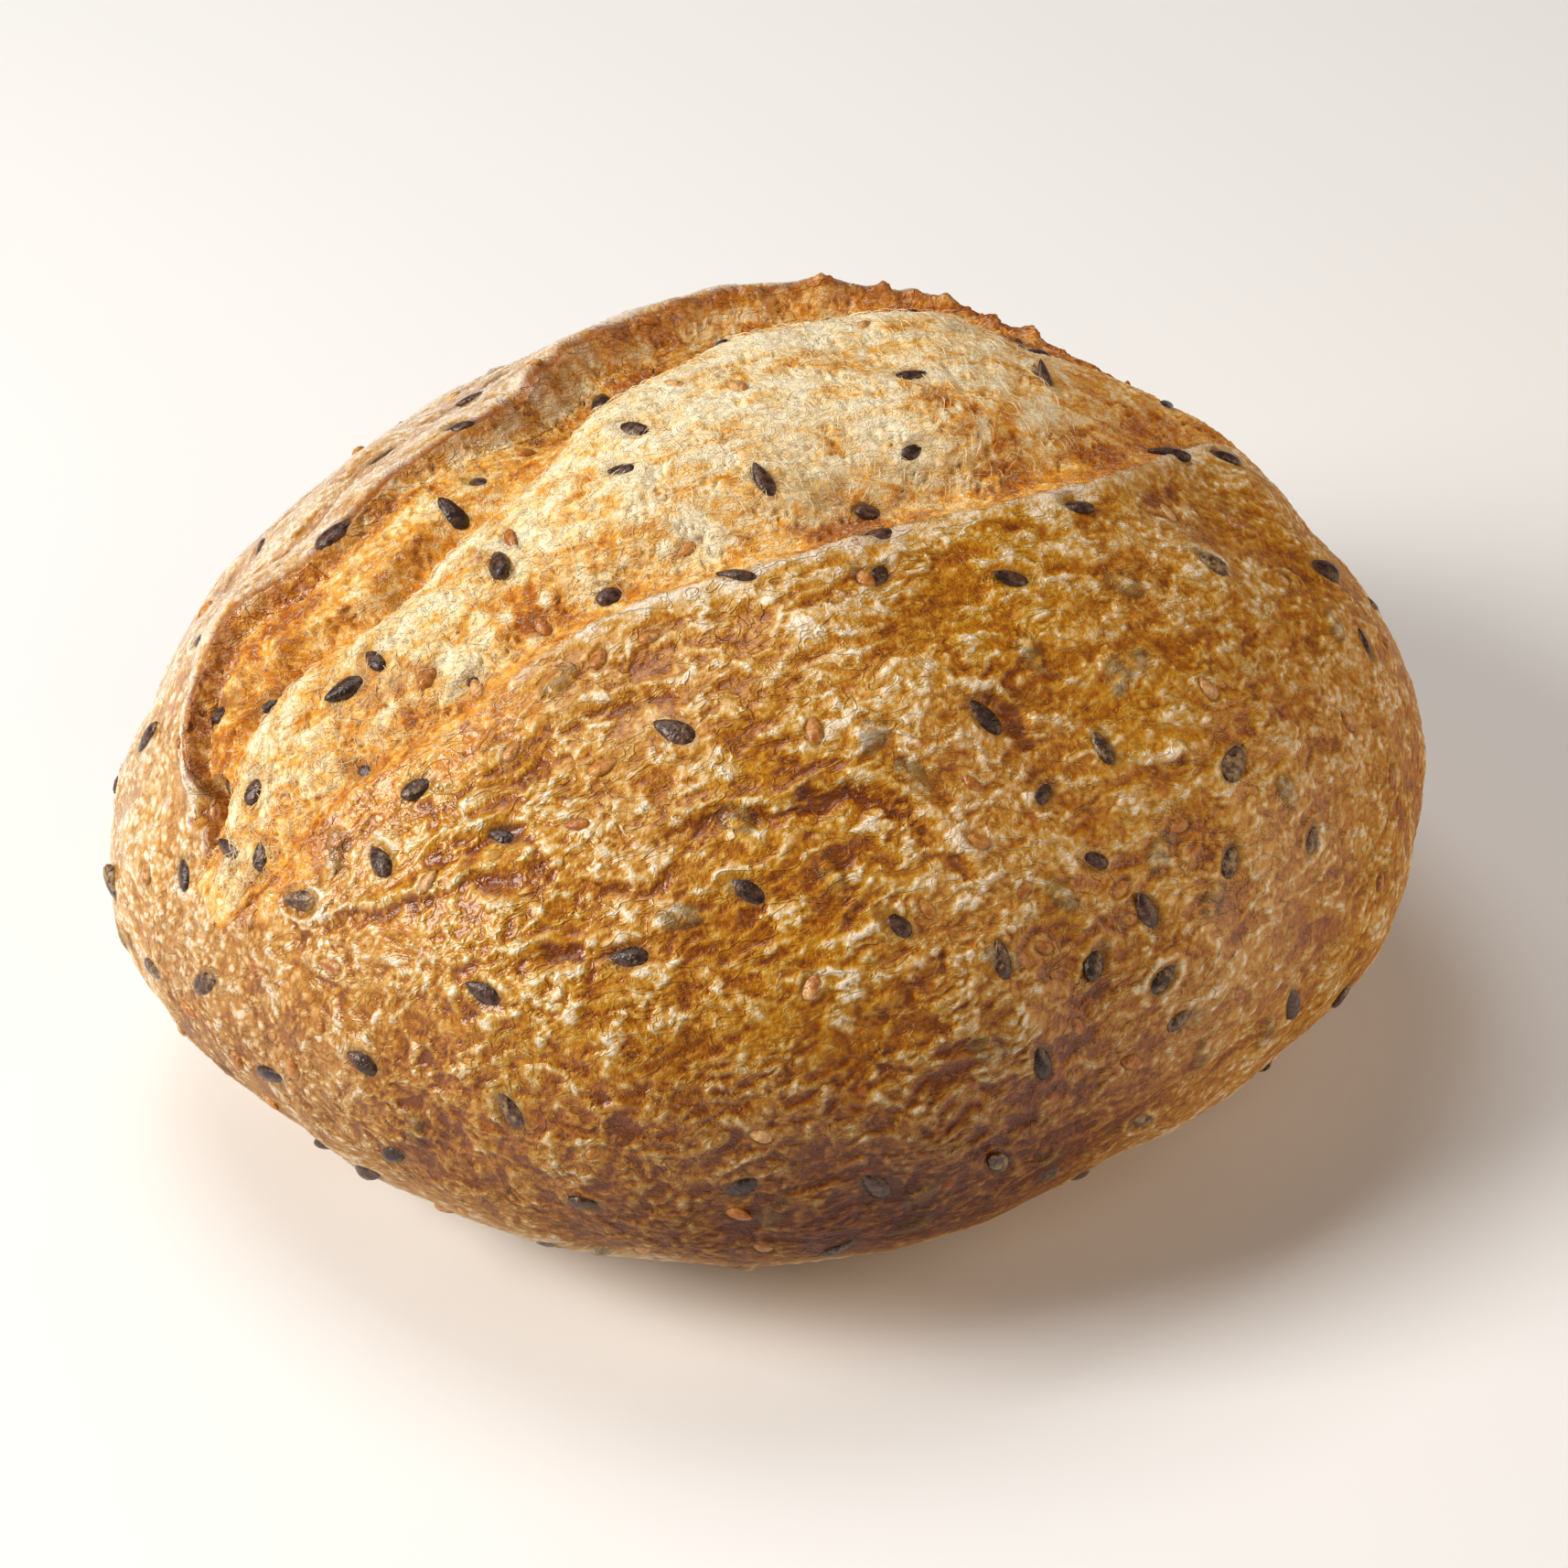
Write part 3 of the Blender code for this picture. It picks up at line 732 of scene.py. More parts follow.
def crust_material():
    """Baked bread crust: a thin gelatinised film of starch, blistered in the oven. Low folds are amber and
    glassy, raised blisters are dry, pale and a little rougher, and the film gives sharp small highlights. The
    amber of low parts is partly painted shade, the pale of crests partly painted highlight, and the low front is
    darkened by painted shade."""
    material, tree, inputs, place = new_material(
        "baked crust film", {"IOR": 1.47, "Specular IOR Level": 0.22, "Coat Roughness": 0.05})
    hollow, broad, film, trough, lip, wall, seed_shade_and_tint, bubble, crinkle, fold, zone, ring, rim, foot, dry = (
        add(tree, "ShaderNodeAttribute", out="Fac", attribute_name=name)
        for name in ("hollow", "broad", "film", "trough", "lip", "wall", "seed_shade_and_tint", "bubble", "crinkle", "fold",
                     "zone", "ring", "rim", "foot", "dry"))

    # the film was pulled along the score, so its blotches of 2.5 mm and its creases are long that way
    pulled = add(tree, "ShaderNodeMapping", {"Vector": place, "Rotation": (0, 0.1, -0.12), "Scale": (2.0, 1, 1)},
                 vector_type="TEXTURE")
    blotch = uneven(tree, Vector=pulled, Scale=400, Detail=4, Roughness=0.55, Distortion=0.4)
    grit = uneven(tree, Vector=place, Scale=1900, Detail=3, Roughness=0.6)
    wide = uneven(tree, Vector=place, Scale=95, Detail=2, Roughness=0.5)
    creases = crest_lines(tree, 0.022, Vector=pulled, Scale=330, Detail=2, Distortion=0.8)
    fine_creases = crest_lines(tree, 0.05, Vector=pulled, Scale=820, Detail=2, Distortion=0.6)
    broken = add(tree, "ShaderNodeTexNoise", {"Vector": place, "Scale": 420, "Detail": 2})
    broken = add(tree, "ShaderNodeMapRange", {"Value": broken, "From Min": 0.42, "From Max": 0.6})
    fine_creases = add(tree, "ShaderNodeMath", {0: fine_creases, 1: broken}, operation="MULTIPLY")
    # where the crust is matt, its round blisters show more and its pulled blotches less
    blistered = add(tree, "ShaderNodeMapRange", {"Value": film, "To Min": 2.4, "To Max": 1.0})
    bubble = add(tree, "ShaderNodeMath", {0: bubble, 1: blistered}, operation="MULTIPLY")
    glassy = add(tree, "ShaderNodeMapRange", {"Value": film, "To Min": 0.5, "To Max": 1.0})
    blotch = add(tree, "ShaderNodeMath", {0: blotch, 1: glassy}, operation="MULTIPLY")

    # colour follows height: sunken film amber, raised film and crests pale, partly the film's own colour
    # and partly painted shade in hollows and troughs and painted highlight on crests and creases
    level = add(tree, "ShaderNodeMath", {0: hollow, 1: 0.22}, operation="MINIMUM")
    level = add(tree, "ShaderNodeMath", {0: level, 1: 1.15, 2: 0.18}, operation="MULTIPLY_ADD")
    high = add(tree, "ShaderNodeMath", {0: broad, 1: 0.3}, operation="MINIMUM")
    level = summed(tree, level, [
        (high, 0.4), (bubble, 0.26), (crinkle, 0.12), (fold, 0.18), (zone, 0.16), (blotch, 0.68), (grit, 0.68),
        (wide, 0.6), (creases, 0.16), (fine_creases, 0.16), (ring, 0.12), (rim, 0.2), (trough, -0.22),
        (foot, -0.42)])
    glossy = ramped(tree, level, ((0.0, "7A3A00"), (0.2, "A05A00"), (0.4, "BC7A00"), (0.58, "CA962A"),
                                  (0.78, "DFBC80"), (1.0, "F8E8CE")))
    matte = ramped(tree, level, ((0.0, "8A4A02"), (0.2, "B07016"), (0.4, "CA923E"), (0.6, "E0B678"),
                                 (0.88, "F7E3CA")))
    colour = add(tree, "ShaderNodeMix", {0: film, 6: matte, 7: glossy}, out=2, data_type="RGBA")
    # painted shade: the low front multiplied darker, together with its darker baking
    colour = mixed(tree, foot, colour, "A28850", "MULTIPLY")

    # bran flecks, reddish and about 1 mm across
    fleck = add(tree, "ShaderNodeTexVoronoi", {"Vector": place, "Scale": 240}, out="Distance", feature="F1")
    chance = add(tree, "ShaderNodeSeparateColor", {0: fleck.node.outputs["Color"]})
    chance = add(tree, "ShaderNodeMath", {0: chance, 1: 0.8}, operation="GREATER_THAN")
    fleck = add(tree, "ShaderNodeMapRange", {"Value": fleck, "From Min": 0.08, "From Max": 0.2, "To Min": 0.7,
                                             "To Max": 0.0})
    fleck = add(tree, "ShaderNodeMath", {0: chance, 1: fleck}, operation="MULTIPLY")
    colour = mixed(tree, fleck, colour, "A65014")

    # the ear's inner wall is toasted crumb and its lip is scorched, with painted shade on the lip's inner side.
    torn, _ = toasted_colour(tree, place)
    colour = add(tree, "ShaderNodeMix", {0: wall, 6: colour, 7: torn}, out=2, data_type="RGBA")
    colour = mixed(tree, lip, colour, "96500C")
    # seeds under the film tint it grey, and painted shade darkens the skin round the bare seeds
    colour = mixed(tree, seed_shade_and_tint, colour, "574426")

    # dull where it is pale or dry, and the clear film over it shines where it isn't dry
    dull = add(tree, "ShaderNodeMapRange", {"Value": level, "From Min": 0.1, "From Max": 0.9, "To Min": 0.16,
                                            "To Max": 0.4})
    dull = summed(tree, dull, [(dry, 0.25)])
    shine = add(tree, "ShaderNodeMapRange", {"Value": dry, "To Min": 0.6, "To Max": 0.03})

    # wrinkles of the film, from 0.2 mm; the clear film over them lies smoother
    fine = add(tree, "ShaderNodeTexNoise", {"Vector": place, "Scale": 2600, "Detail": 3, "Roughness": 0.55})
    fine = summed(tree, fine, [(creases, 0.9), (fine_creases, 0.6)])
    wrinkled, taut = (add(tree, "ShaderNodeBump", {"Height": fine, "Distance": 0.0003, "Strength": strength})
                      for strength in (0.8, 0.2))
    for socket, source in (("Base Color", colour), ("Roughness", dull), ("Normal", wrinkled),
                           ("Coat Normal", taut), ("Coat Weight", shine)):
        tree.links.new(source, inputs[socket])
    return material


def crumb_material():
    """Torn bread crumb, toasted where it stood proudest: dry, cottony and matte, cream in the middle, golden
    towards the edges and scorched orange-brown on raised spots, with a faint shine on the fibres."""
    material, tree, inputs, place = new_material("toasted crumb", {
        "Roughness": 0.5, "IOR": 1.45, "Specular IOR Level": 0.25, "Subsurface Weight": 0.2,
        "Subsurface Radius": (1.0, 0.75, 0.45), "Subsurface Scale": 0.0005})
    seed_shade_and_tint, damp = (add(tree, "ShaderNodeAttribute", out="Fac", attribute_name=name)
                   for name in ("seed_shade_and_tint", "damp"))
    colour, fibres = toasted_colour(tree, place)
    colour = mixed(tree, damp, colour, "D2C298")
    # painted shade round the bare seeds that lie in the crumb
    colour = mixed(tree, seed_shade_and_tint, colour, "7A6238")
    fine = add(tree, "ShaderNodeTexNoise", {"Vector": place, "Scale": 3600, "Detail": 3, "Roughness": 0.6})
    fine = summed(tree, fine, [(fibres, 0.8)])
    bump = add(tree, "ShaderNodeBump", {"Height": fine, "Distance": 0.00022, "Strength": 0.8})
    for socket, source in (("Base Color", colour), ("Normal", bump)):
        tree.links.new(source, inputs[socket])
    return material


def hull_material(name, dark, light, film):
    """Seed hull: smooth, hard and slightly waxy, so it takes a soft highlight; dried film veils parts of it."""
    material, tree, inputs, place = new_material(name, {"Roughness": 0.3, "IOR": 1.48})
    tone, veil = (add(tree, "ShaderNodeAttribute", out="Fac", attribute_name=name) for name in ("tone", "veil"))
    mottle = add(tree, "ShaderNodeTexNoise", {"Vector": place, "Scale": 1300, "Detail": 4, "Roughness": 0.65})
    mottle = add(tree, "ShaderNodeMath", {0: mottle, 1: 3.2, 2: -1.35}, operation="MULTIPLY_ADD")
    mottle = add(tree, "ShaderNodeMath", {0: mottle, 1: tone}, operation="ADD", use_clamp=True)
    colour = mixed(tree, mottle, linear(dark), light)
    ragged = add(tree, "ShaderNodeTexNoise", {"Vector": place, "Scale": 1100, "Detail": 4, "Roughness": 0.75})
    ragged = add(tree, "ShaderNodeMath", {0: veil, 1: ragged}, operation="SUBTRACT")
    ragged = add(tree, "ShaderNodeMapRange", {"Value": ragged, "From Min": -0.06, "From Max": 0.08,
                                              "To Max": 0.75})
    colour = mixed(tree, ragged, colour, film)
    wrinkle = add(tree, "ShaderNodeTexNoise", {"Vector": place, "Scale": 2600, "Detail": 2})
    bump = add(tree, "ShaderNodeBump", {"Height": wrinkle, "Distance": 0.0002, "Strength": 0.7})
    for socket, source in (("Base Color", colour), ("Normal", bump)):
        tree.links.new(source, inputs[socket])
    return material


def drop_mesh(name, length, width, thickness, taper):
    """One drop-shaped seed, lying along X with its point at +X."""
    bm = bmesh.new()
    bmesh.ops.create_uvsphere(bm, u_segments=10, v_segments=7, radius=0.5)
    bmesh.ops.rotate(bm, verts=bm.verts, matrix=Matrix.Rotation(math.pi / 2, 3, "Y"))
    for vert in bm.verts:
        narrow = 1 - taper * vert.co.x - 0.9 * max(0, vert.co.x) ** 2
        vert.co = Vector((vert.co.x * length, vert.co.y * width * narrow, vert.co.z * thickness * narrow))
    mesh = bpy.data.meshes.new(name)
    bm.to_mesh(mesh)
    bm.free()
    mesh.polygons.foreach_set("use_smooth", np.ones(len(mesh.polygons), bool))
    return mesh


def strand_mesh():
    """One strand of crumb: a thin bowed thread along X, with its ends in the crumb."""
    steps = np.linspace(-1, 1, 6)
    rings = []
    for step in steps:
        thick = STRAND_THICKNESS / 2 * (1 - 0.7 * abs(step) ** 3)
        aside = 0.18 * STRAND_LENGTH * step * abs(step)
        for corner in range(3):
            turn = 2 * math.pi * corner / 3
            rings.append((step * STRAND_LENGTH / 2, aside + thick * math.sin(turn),
                          STRAND_BOW * (1 - step * step) + thick * math.cos(turn)))
    faces = [(3 * i + j, 3 * i + (j + 1) % 3, 3 * i + 3 + (j + 1) % 3, 3 * i + 3 + j)
             for i in range(len(steps) - 1) for j in range(3)]
    last = 3 * (len(steps) - 1)
    mesh = bpy.data.meshes.new("strand")
    mesh.from_pydata(rings, [], faces + [(2, 1, 0), (last, last + 1, last + 2)])
    mesh.polygons.foreach_set("use_smooth", np.ones(len(mesh.polygons), bool))
    return mesh


def strand_material():
    """Dried strands of crumb: thin, pale and slightly glassy, golden where the crumb under them is toasted."""
    material, tree, inputs, place = new_material("dried crumb strand", {"Roughness": 0.3, "IOR": 1.45})
    tone = add(tree, "ShaderNodeAttribute", out="Fac", attribute_name="tone")
    mottle = add(tree, "ShaderNodeTexNoise", {"Vector": place, "Scale": 500, "Detail": 2})
    level = summed(tree, tone, [(mottle, 0.5)])
    level = add(tree, "ShaderNodeMapRange", {"Value": level, "From Min": 0.4, "From Max": 1.0})
    tree.links.new(mixed(tree, level, linear("F7EBC8"), "D9A04A"), inputs["Base Color"])
    return material


def scatter_tree():
    """Sets one shape on every point, turned by the point's own directions and sized by its own size."""
    tree = bpy.data.node_groups.new("scatter", "GeometryNodeTree")
    tree.interface.new_socket("Geometry", in_out="OUTPUT", socket_type="NodeSocketGeometry")
    for name, kind in (("Geometry", "Geometry"), ("Shape", "Object"), ("Finish", "Material")):
        tree.interface.new_socket(name, in_out="INPUT", socket_type="NodeSocket" + kind)
    given = add(tree, "NodeGroupInput").node.outputs
    shape = add(tree, "GeometryNodeObjectInfo", {"Object": given["Shape"]}, out="Geometry")
    out, way, size = (add(tree, "GeometryNodeInputNamedAttribute", {"Name": name}, data_type="FLOAT_VECTOR")
                      for name in ("outward", "lengthwise", "size"))
    turn = add(tree, "FunctionNodeAxesToRotation", {0: out, 1: way}, primary_axis="Z", secondary_axis="X")
    points = add(tree, "GeometryNodeMeshToPoints", {"Mesh": given["Geometry"]})
    copies = add(tree, "GeometryNodeInstanceOnPoints", {"Points": points, "Instance": shape, "Rotation": turn,
                                                        "Scale": size})
    real = add(tree, "GeometryNodeRealizeInstances", {"Geometry": copies})
    done = add(tree, "GeometryNodeSetMaterial", {"Geometry": real, "Material": given["Finish"]})
    add(tree, "NodeGroupOutput", {0: done})
    return tree


def scattered(name, shape, tree, finish, places, lengthwise, outward, sizes, **marks):
    """Copies of one shape as one plain mesh piece."""
    holder = placed(name + " shape", shape)
    points = bpy.data.meshes.new(name)
    points.from_pydata([tuple(p) for p in places], [], [])
    put_values(points, {"lengthwise": np.array(lengthwise), "outward": np.array(outward),
                        "size": np.array(sizes), **{key: np.array(mark) for key, mark in marks.items()}})
    made = grown(name, points, tree, shape=holder, finish=finish)
    bpy.data.objects.remove(holder)
    return placed(name, made)


# What the fine skin adds to the CAD solid's form, in mm
along, around = grid_places()
columns = along.shape[1]
across = across_split(along, around)
opening = gape(along)
front_lip = smooth_curve(along, FRONT_LIP)
back_lip = smooth_curve(along, BACK_LIP)
inside = ramp(across, -0.006, 0.006) * (1 - ramp(across, 0.994, 1.004)) * ramp(opening, 0.12, 0.5)
plain, _ = plain_loaf(along, around)

extra, trough = fold_relief(plain, along, around)
for spot_along, spot_around, radius, lift in PEAKS:
    extra += lift * band(spot_distance(plain, spot_along, spot_around), 0, radius)
ragged = band(around, back_lip, 1.1) * ramp(along, 84, 100)
extra += ragged * (0.45 * waves(plain, 2.6 * MM, 51, 20) + 0.3 * waves(plain, 1.5 * MM, 52, 20))
# the front film's torn edge stands a little proud of the crumb
extra += 0.3 * band(around - front_lip, -0.5, 0.7) * opening * ramp(along, 45, 65)
rim = band(around - front_lip, -1.3, 1.1) * opening * ramp(along, 42, 62)
base = skin(along, around, extra)

# The front crust is a glossy film; the back and the ends are finer and drier
lengthways = plain[..., 0] / LENGTH * 2
glossy = ramp(around, -125, -95) * (1 - ramp(around, 5, 15)) * ramp(lengthways, -0.97, -0.72)
glossy = np.clip(glossy * (0.9 + 0.35 * waves(plain, 24 * MM, 61)), 0, 1)

# The mesh's faces: four-sided ones between the rows, and three-sided ones round the two end points
start_points = with_ends(base, skin_point(0, 0), skin_point(180, 0))
grid = np.arange(1, 1 + base.shape[0] * columns).reshape(-1, columns)
beside = np.roll(grid, -1, 1)
quads = np.stack([grid[:-1], grid[1:], beside[1:], beside[:-1]], -1).reshape(-1, 4)
caps = np.concatenate([np.stack([np.zeros(columns, int), grid[0], beside[0]], 1),
                       np.stack([np.full(columns, len(start_points) - 1), beside[-1], grid[-1]], 1)])

# The dark seeds lie where the CAD solid has them, with more in the split; the golden ones lie clear of them
start_tree = KDTree(len(start_points))
for number, point in enumerate(start_points):
    start_tree.insert(point, number)
start_tree.balance()
dark_places = seed_places() + list(MORE_SEEDS)
dark_frames = [seed_frame(place) for place in dark_places]
dark_sizes = np.append(np.random.default_rng(11).uniform(0.88, 1.1, SEED_COUNT),
                       np.full(len(MORE_SEEDS), MORE_SEED_SIZE))

golden_draw = np.random.default_rng(17)
golden_places = [(float(a), float(b), golden_draw.uniform(0, 180)) for a, b in SHOWN_GOLDEN_SEEDS]
taken = [middle for middle, _, _ in dark_frames] + [skin_point(a, b) for a, b, _ in golden_places]
while len(golden_places) < GOLDEN_COUNT:
    place = random_place(golden_draw)
    middle = skin_point(*place[:2])
    if middle[2] > SEED_FLOOR and clearance(middle, taken) > GOLDEN_GAP:
        golden_places.append(place)
        taken.append(middle)
golden_frames = [seed_frame(place) for place in golden_places]
golden_sizes = golden_draw.uniform(0.8, 1.15, GOLDEN_COUNT)

covered_draw = np.random.default_rng(29)
covered_frames = [seed_frame(place) for place in COVERED_SEEDS]
while len(covered_frames) < COVERED_COUNT:
    place = random_place(covered_draw)
    middle = skin_point(*place[:2])
    by_split = COVERED_CLEAR[0] < place[1] < COVERED_CLEAR[1]
    if middle[2] > SEED_FLOOR and clearance(middle, taken) > COVERED_GAP and not by_split:
        covered_frames.append(seed_frame(place))
        taken.append(middle)

# Each bare seed dents the skin, most with a low collar of film and a few with a high one, lower on the loaf's
# top, where the crust is thin. Covered seeds make bulges.
frames = dark_frames + golden_frames
collars = 0.04 + 0.3 * np.random.default_rng(37).uniform(0, 1, len(frames)) ** 3
collars *= [0.3 if middle[2] > 0.055 else 1 for middle, _, _ in frames]
bare = [(seed, SEED_LENGTH * size, SEED_WIDTH * size, collar)
        for seed, size, collar in zip(dark_frames, dark_sizes, collars)]
bare += [(seed, GOLDEN_LENGTH * size, GOLDEN_WIDTH * size, 0.5 * collar)
         for seed, size, collar in zip(golden_frames, golden_sizes, collars[len(dark_frames):])]
hidden = [(seed, SEED_LENGTH, SEED_WIDTH, 0) for seed in covered_frames]
nest_height, nest_shade, nest_ring = nestle(start_points, start_tree, bare, SEED_DENT)
bulge_height, bulge_shade, _ = nestle(start_points, start_tree, hidden, -SEED_BULGE)

# Relief is calm near the seeds, on the film's torn edge and at the sole, and calmer at the right and low down
in_front = (around < front_lip) & (around > -140)
quiet = 1 - in_front * (0.42 * ramp(along, 80, 104) + 0.18 * ramp(-plain[..., 2], -0.034, -0.016))
sole = ramp(start_points[:, 2], 0.0002, 0.004)
calm = with_ends(quiet, 1, 0.6) * sole
calm *= (1 - 0.75 * nest_shade) * (1 - 0.6 * nest_ring) * (1 - 0.6 * with_ends(rim, 0, 0))
base_mesh = mesh_from("skin", start_points, [quads, caps])
put_values(base_mesh, {"crumb": with_ends(inside, 0, 0), "film": with_ends(glossy, 0, 0), "calm": calm})
raised = ((nest_height + bulge_height) * sole * MM)[:, None]
lifted = start_points + read_vectors(base_mesh.vertex_normals, "vector") * raised
base_mesh.vertices.foreach_set("co", lifted.astype(np.float32).ravel())
base_mesh.update()

skin_mesh = grown("skin", base_mesh, relief_tree())
points = read_vectors(skin_mesh.vertices, "co")
points[:, 2] = np.maximum(points[:, 2], 0)
normals = read_vectors(skin_mesh.vertex_normals, "vector")

# How far each point lies over its near and its wider surroundings, in mm
# the colours use these for painted shade in hollows and painted highlight on crests
cells = points[1:-1].reshape(*along.shape, 3)
outward = normals[1:-1].reshape(*along.shape, 3)
hollow, broad = (((cells - blurred(cells, reach)) * outward).sum(-1) / MM for reach in (3, 9))

damp = np.zeros(along.shape)
for spot_along, spot_around, radius in DAMP:
    far = spot_distance(plain, spot_along, spot_around) / radius
    damp = np.maximum(damp, 0.5 * np.exp(-far ** 2 * 1.2) * ramp(waves(plain, 2.2 * MM, 73), -0.6, 0.5))

# Scorched lips, broad along the ear and thin along the front lip; the broader inner side is partly painted shade
lip = band(around - back_lip, 0.5, np.where(around > back_lip + 0.5, 0.8, 1.6)) * opening
lip = lip * (0.85 + 0.2 * waves(plain, 6 * MM, 81))
lip = np.maximum(lip, 0.4 * band(around, front_lip, 0.4) * opening * ramp(along, 45, 65))

# The loaf's foot is darker, most in front: darker baking and painted shade. Low and far crust is drier
height = plain[..., 2]
foot = (1 - ramp(height, 0.018, 0.054)) * (0.34 + 0.66 * band(plain[..., 0], -0.018, 0.03))
foot *= (1 - 0.8 * ramp(plain[..., 0], -0.002, 0.03)) * (0.25 + 0.75 * ramp(height, 0.006, 0.022))
foot *= 1 - ramp(np.abs(around + 90), 60, 130)
dry = np.clip(1 - ramp(height, 0.014, 0.042) + ramp(plain[..., 0], 0.028, 0.056), 0, 1)

# The ear's inner wall is torn crumb, and at the left the crust by the front lip tore into fibres too
wall = ramp(across, WALL_FOOT, WALL_FOOT + 0.015) * (1 - ramp(across, 0.995, 1.004)) * ramp(opening, 0.1, 0.4)
torn_lip = ramp(around - front_lip + 1.6 * waves(plain, 5 * MM, 86), -8, -5)
torn_lip = torn_lip * (1 - ramp(across, 0, 0.02)) * (1 - ramp(along, 52, 68)) * opening
wall = np.maximum(wall, 0.85 * torn_lip)
toast = np.clip(toasting(plain, along, across) - 0.16 * torn_lip, 0, 1)

values = {name: with_ends(layout, 0, 0) for name, layout in (
    ("wall", wall), ("hollow", hollow), ("broad", broad), ("film", glossy), ("trough", trough), ("toast", toast),
    ("damp", damp), ("lip", np.clip(lip, 0, 1)), ("rim", rim), ("foot", foot))}
values["dry"] = with_ends(dry, 1, 1)
values["ring"] = nest_ring
grain = ramp(waves(start_points, 1.6 * MM, 91, 20), -0.9, 0.5)
# painted shade round the edges of the bare seeds, and the grey of covered seeds seen through the film
values["seed_shade_and_tint"] = np.maximum(0.3 * nest_shade, 0.62 * bulge_shade * grain)
for name in ("bubble", "crinkle", "fold", "zone"):
    values[name] = read_values(skin_mesh, name)

# Which columns of the mesh lie in the split, behind it and below the loaf
column = np.arange(columns)
wall_column = int(np.sum(crowded(np.arange(CRUMB_COLUMNS) / CRUMB_COLUMNS, LIP_CROWDING) < WALL_FOOT))
under_column = CRUMB_COLUMNS + BACK_COLUMNS
in_split = column < wall_column
behind = (column >= wall_column) & (column < under_column)
below = (column >= under_column) & (column < under_column + UNDER_COLUMNS)


def piece_of(row):
    """Numbers in PIECES of the faces of one row or more, each row given by its along."""
    front = 1 + sum(row > border for border in PIECE_BORDERS)
    number = np.where(in_split & (row > CRUMB_ENDS[0]) & (row < CRUMB_ENDS[1]), 0, front)
    number = np.where(behind, np.where(row < PIECE_BORDERS[1], 5, 6), number)
    return np.where(below, 7, number)


row_along = np.linspace(0, 180, ROWS + 1)[1:-1]
middle_row = (row_along[:-1] + row_along[1:]) / 2
label_quads = piece_of(middle_row[:, None]).ravel()
label_caps = np.concatenate([piece_of(0.1), piece_of(179.9)])
skin_parts = skin_pieces(PIECES, points, normals, quads, caps, label_quads, label_caps, values,
                         [crumb_material()] + [crust_material()] * (len(PIECES) - 1))

# Set the seeds on the finished skin
surface = BVHTree.FromPolygons([tuple(p) for p in points], [tuple(q) for q in quads])
scatter = scatter_tree()
seed_draw = np.random.default_rng(23)


def lying(frames, draw, lean):
    """The seeds' directions, each leaning a little out of the skin's plane."""
    turned = []
    for middle, lengthwise, out in frames:
        tilt = out + draw.normal(0, lean) * lengthwise + draw.normal(0, lean) * np.cross(out, lengthwise)
        tilt /= np.linalg.norm(tilt)
        way = lengthwise - tilt * (lengthwise @ tilt)
        turned.append((middle, way / np.linalg.norm(way), tilt))
    return turned


def settled(frames, proud):
    """Seeds' middles moved onto the finished skin, each a little proud of it."""
    spots = []
    for (middle, _, out), lift in zip(frames, proud):
        hit, _, _, _ = surface.ray_cast(Vector(middle + out * 0.004), Vector(-out), 0.01)
        at = np.array(hit) if hit is not None else middle
        spots.append(at + out * lift)
    return spots


dark_count = len(dark_frames)
deeper = 0.0003 * (np.arange(dark_count) >= SEED_COUNT)  # those that the CAD solid doesn't have
dark_proud = seed_draw.uniform(-0.0004, 0.0001, dark_count) - deeper
dark_frames = lying(dark_frames, seed_draw, 0.24)
golden_frames = lying(golden_frames, seed_draw, 0.22)
in_crumb = np.array([-20 < around < 30 for _, around, _ in dark_places])
dark_veil = seed_draw.uniform(0.25, 0.5, dark_count) * np.where(in_crumb, 0.6, 1)
dark_stretch = dark_sizes[:, None] * seed_draw.uniform(0.84, 1.08, (dark_count, 3))
dark_tone = seed_draw.uniform(-0.15, 0.25, dark_count)
golden_proud = seed_draw.uniform(-0.0003, 0.0001, GOLDEN_COUNT)
golden_stretch = golden_sizes[:, None] * seed_draw.uniform(0.88, 1.1, (GOLDEN_COUNT, 3))
golden_tone = golden_draw.uniform(-0.2, 0.3, GOLDEN_COUNT)
golden_veil = golden_draw.uniform(0.1, 0.6, GOLDEN_COUNT)
dark_shape = drop_mesh("dark seed", SEED_LENGTH * 1.02, SEED_WIDTH * 0.95, SEED_THICKNESS * 0.8, 0.5)
golden_shape = drop_mesh("golden seed", GOLDEN_LENGTH, GOLDEN_WIDTH, GOLDEN_THICKNESS, 0.4)
dark_hull = hull_material("linseed hull", "28160F", "6E4A3A", "A88A5C")
golden_hull = hull_material("sesame hull", "9E581A", "D2964A", "DDB57C")
dark = scattered("dark_seeds", dark_shape, scatter, dark_hull, settled(dark_frames, dark_proud),
                 [way for _, way, _ in dark_frames], [out for _, _, out in dark_frames], dark_stretch,
                 tone=dark_tone, veil=dark_veil)
golden = scattered("golden_seeds", golden_shape, scatter, golden_hull, settled(golden_frames, golden_proud),
                   [way for _, way, _ in golden_frames], [out for _, _, out in golden_frames], golden_stretch,
                   tone=golden_tone, veil=golden_veil)

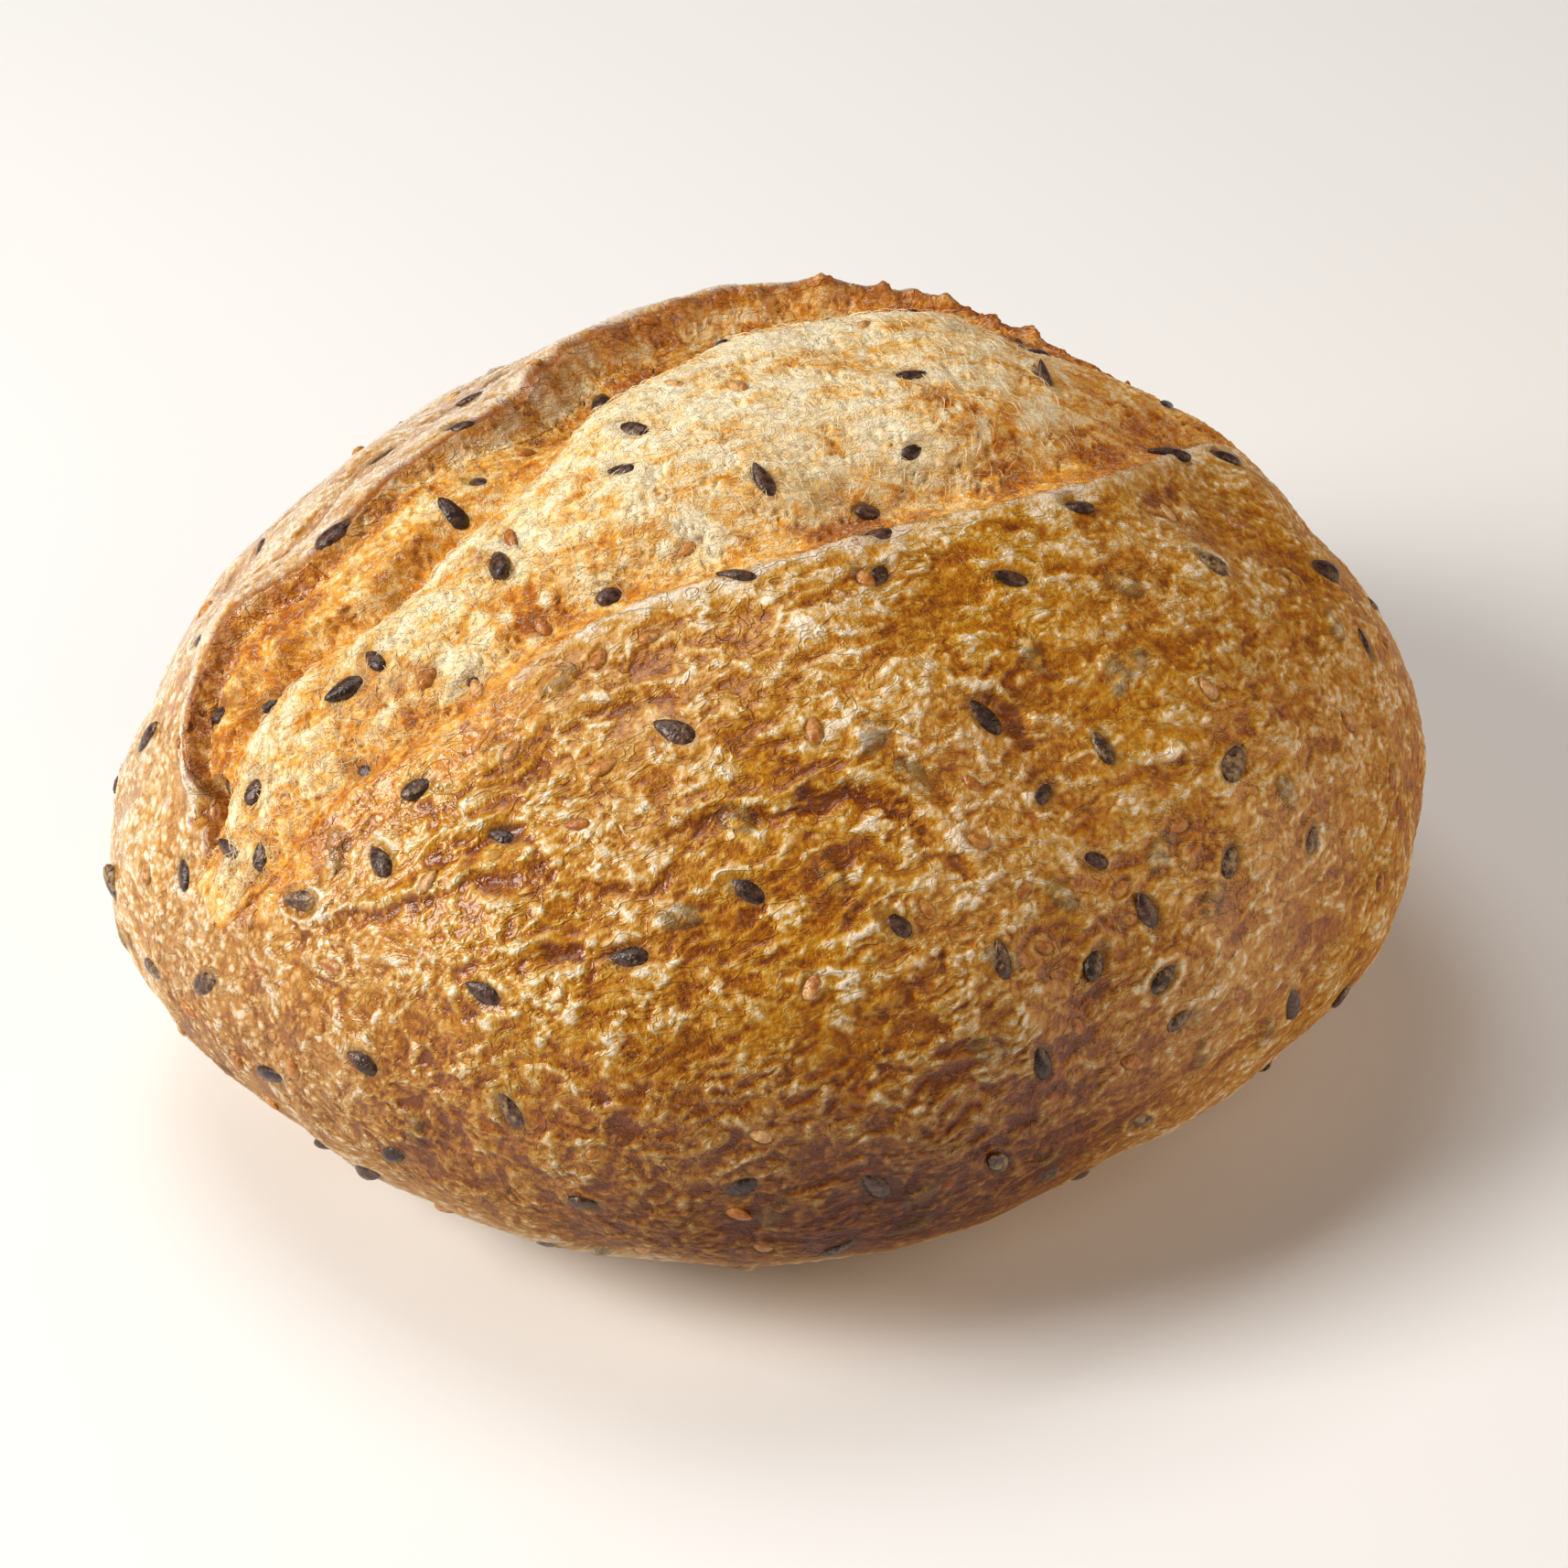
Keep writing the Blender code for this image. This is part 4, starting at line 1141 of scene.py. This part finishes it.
# Fine strands that the crumb tore into, on its open pale parts
strand_draw = np.random.default_rng(41)
pale = (toast < 0.6) & (inside > 0.9) & (across > 0.09) & (across < 0.64) & (along < 118)
picked = strand_draw.choice(np.flatnonzero(with_ends(pale, False, False)), STRANDS)
strand_out = normals[picked]
strand_way = np.cross(strand_out, strand_draw.normal(size=(STRANDS, 3)))
strand_way /= np.linalg.norm(strand_way, axis=1, keepdims=True)
strand_size = strand_draw.uniform(0.5, 1.4, STRANDS)
strands = scattered("crumb_strands", strand_mesh(), scatter, strand_material(),
                    points[picked] - strand_out * STRAND_SINK, strand_way, strand_out,
                    np.stack([strand_size, np.ones(STRANDS), strand_size], 1), tone=values["toast"][picked])

# What each piece rides on and stands for
for piece in skin_parts + [dark, golden, strands]:
    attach(piece, "root")
for piece in skin_parts:
    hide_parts("loaf")

# Floor
paper, tree, inputs, place = new_material("matt white paper", {"Roughness": 0.9})
tone = add(tree, "ShaderNodeTexNoise", {"Vector": place, "Scale": 4})
tree.links.new(mixed(tree, tone, linear("F1F3F7"), "F4F6F9"), inputs["Base Color"])
floor_mesh = bpy.data.meshes.new("floor")
floor_mesh.from_pydata([(-3, -3, 0), (3, -3, 0), (3, 3, 0), (-3, 3, 0)], [], [(0, 1, 2, 3)])
floor_mesh.materials.append(paper)
floor = placed("floor", floor_mesh)


def soft_light(name, place, aim, size, power, colour):
    """A square area light at a place, turned to its aim."""
    data = bpy.data.lights.new(name, "AREA")
    data.shape = "SQUARE"
    data.size = size
    data.energy = power
    data.color = linear(colour)[:3]
    lamp = placed(name, data)
    lamp.location = place
    lamp.rotation_mode = "QUATERNION"
    lamp.rotation_quaternion = (Vector(place) - Vector(aim)).to_track_quat("Z", "Y")


# Soft studio light
soft_light("window", (-0.80, 0.12, 0.60), (0, 0, 0.04), 0.42, 10.3, "FFF8EE")
soft_light("fill", (0.3, -0.8, 0.9), (0, 0, 0.03), 0.7, 1.2, "FFF8EE")
soft_light("ceiling bounce", (-0.1, 0.35, 0.95), (0, 0, 0.05), 0.5, 3.4, "FFFCF6")
soft_light("warm bounce", (0.75, -0.45, 0.24), (0, 0, 0.03), 0.5, 2.6, "FFD2A2")
world = bpy.data.worlds.new("pale room")
world.use_nodes = True
room = world.node_tree.nodes["Background"].inputs
room["Color"].default_value = linear("FFFFFF")
room["Strength"].default_value = 0.11
bpy.context.scene.world = world
bpy.context.scene.view_settings.view_transform = "Standard"

# Camera at the photograph's viewing angle, with the aim where the photograph has it
toward = Vector((math.sin(AZIMUTH) * math.cos(ELEVATION), -math.cos(AZIMUTH) * math.cos(ELEVATION),
                 math.sin(ELEVATION)))
rightward = Vector((math.cos(AZIMUTH), math.sin(AZIMUTH), 0))
upward = toward.cross(rightward)
lens = bpy.data.cameras.new("camera")
lens.sensor_width = SENSOR
lens.lens = FOCAL_PIXELS / PICTURE * SENSOR
lens.shift_x = (PICTURE / 2 - AIM_PIXEL[0]) / PICTURE
lens.shift_y = -(PICTURE / 2 - AIM_PIXEL[1]) / PICTURE
lens.clip_start = 0.05
camera = placed("camera", lens)
facing = Matrix((rightward, upward, toward)).transposed().to_4x4()
camera.matrix_world = Matrix.Translation(Vector(AIM) + toward * DISTANCE) @ facing
bpy.context.scene.camera = camera
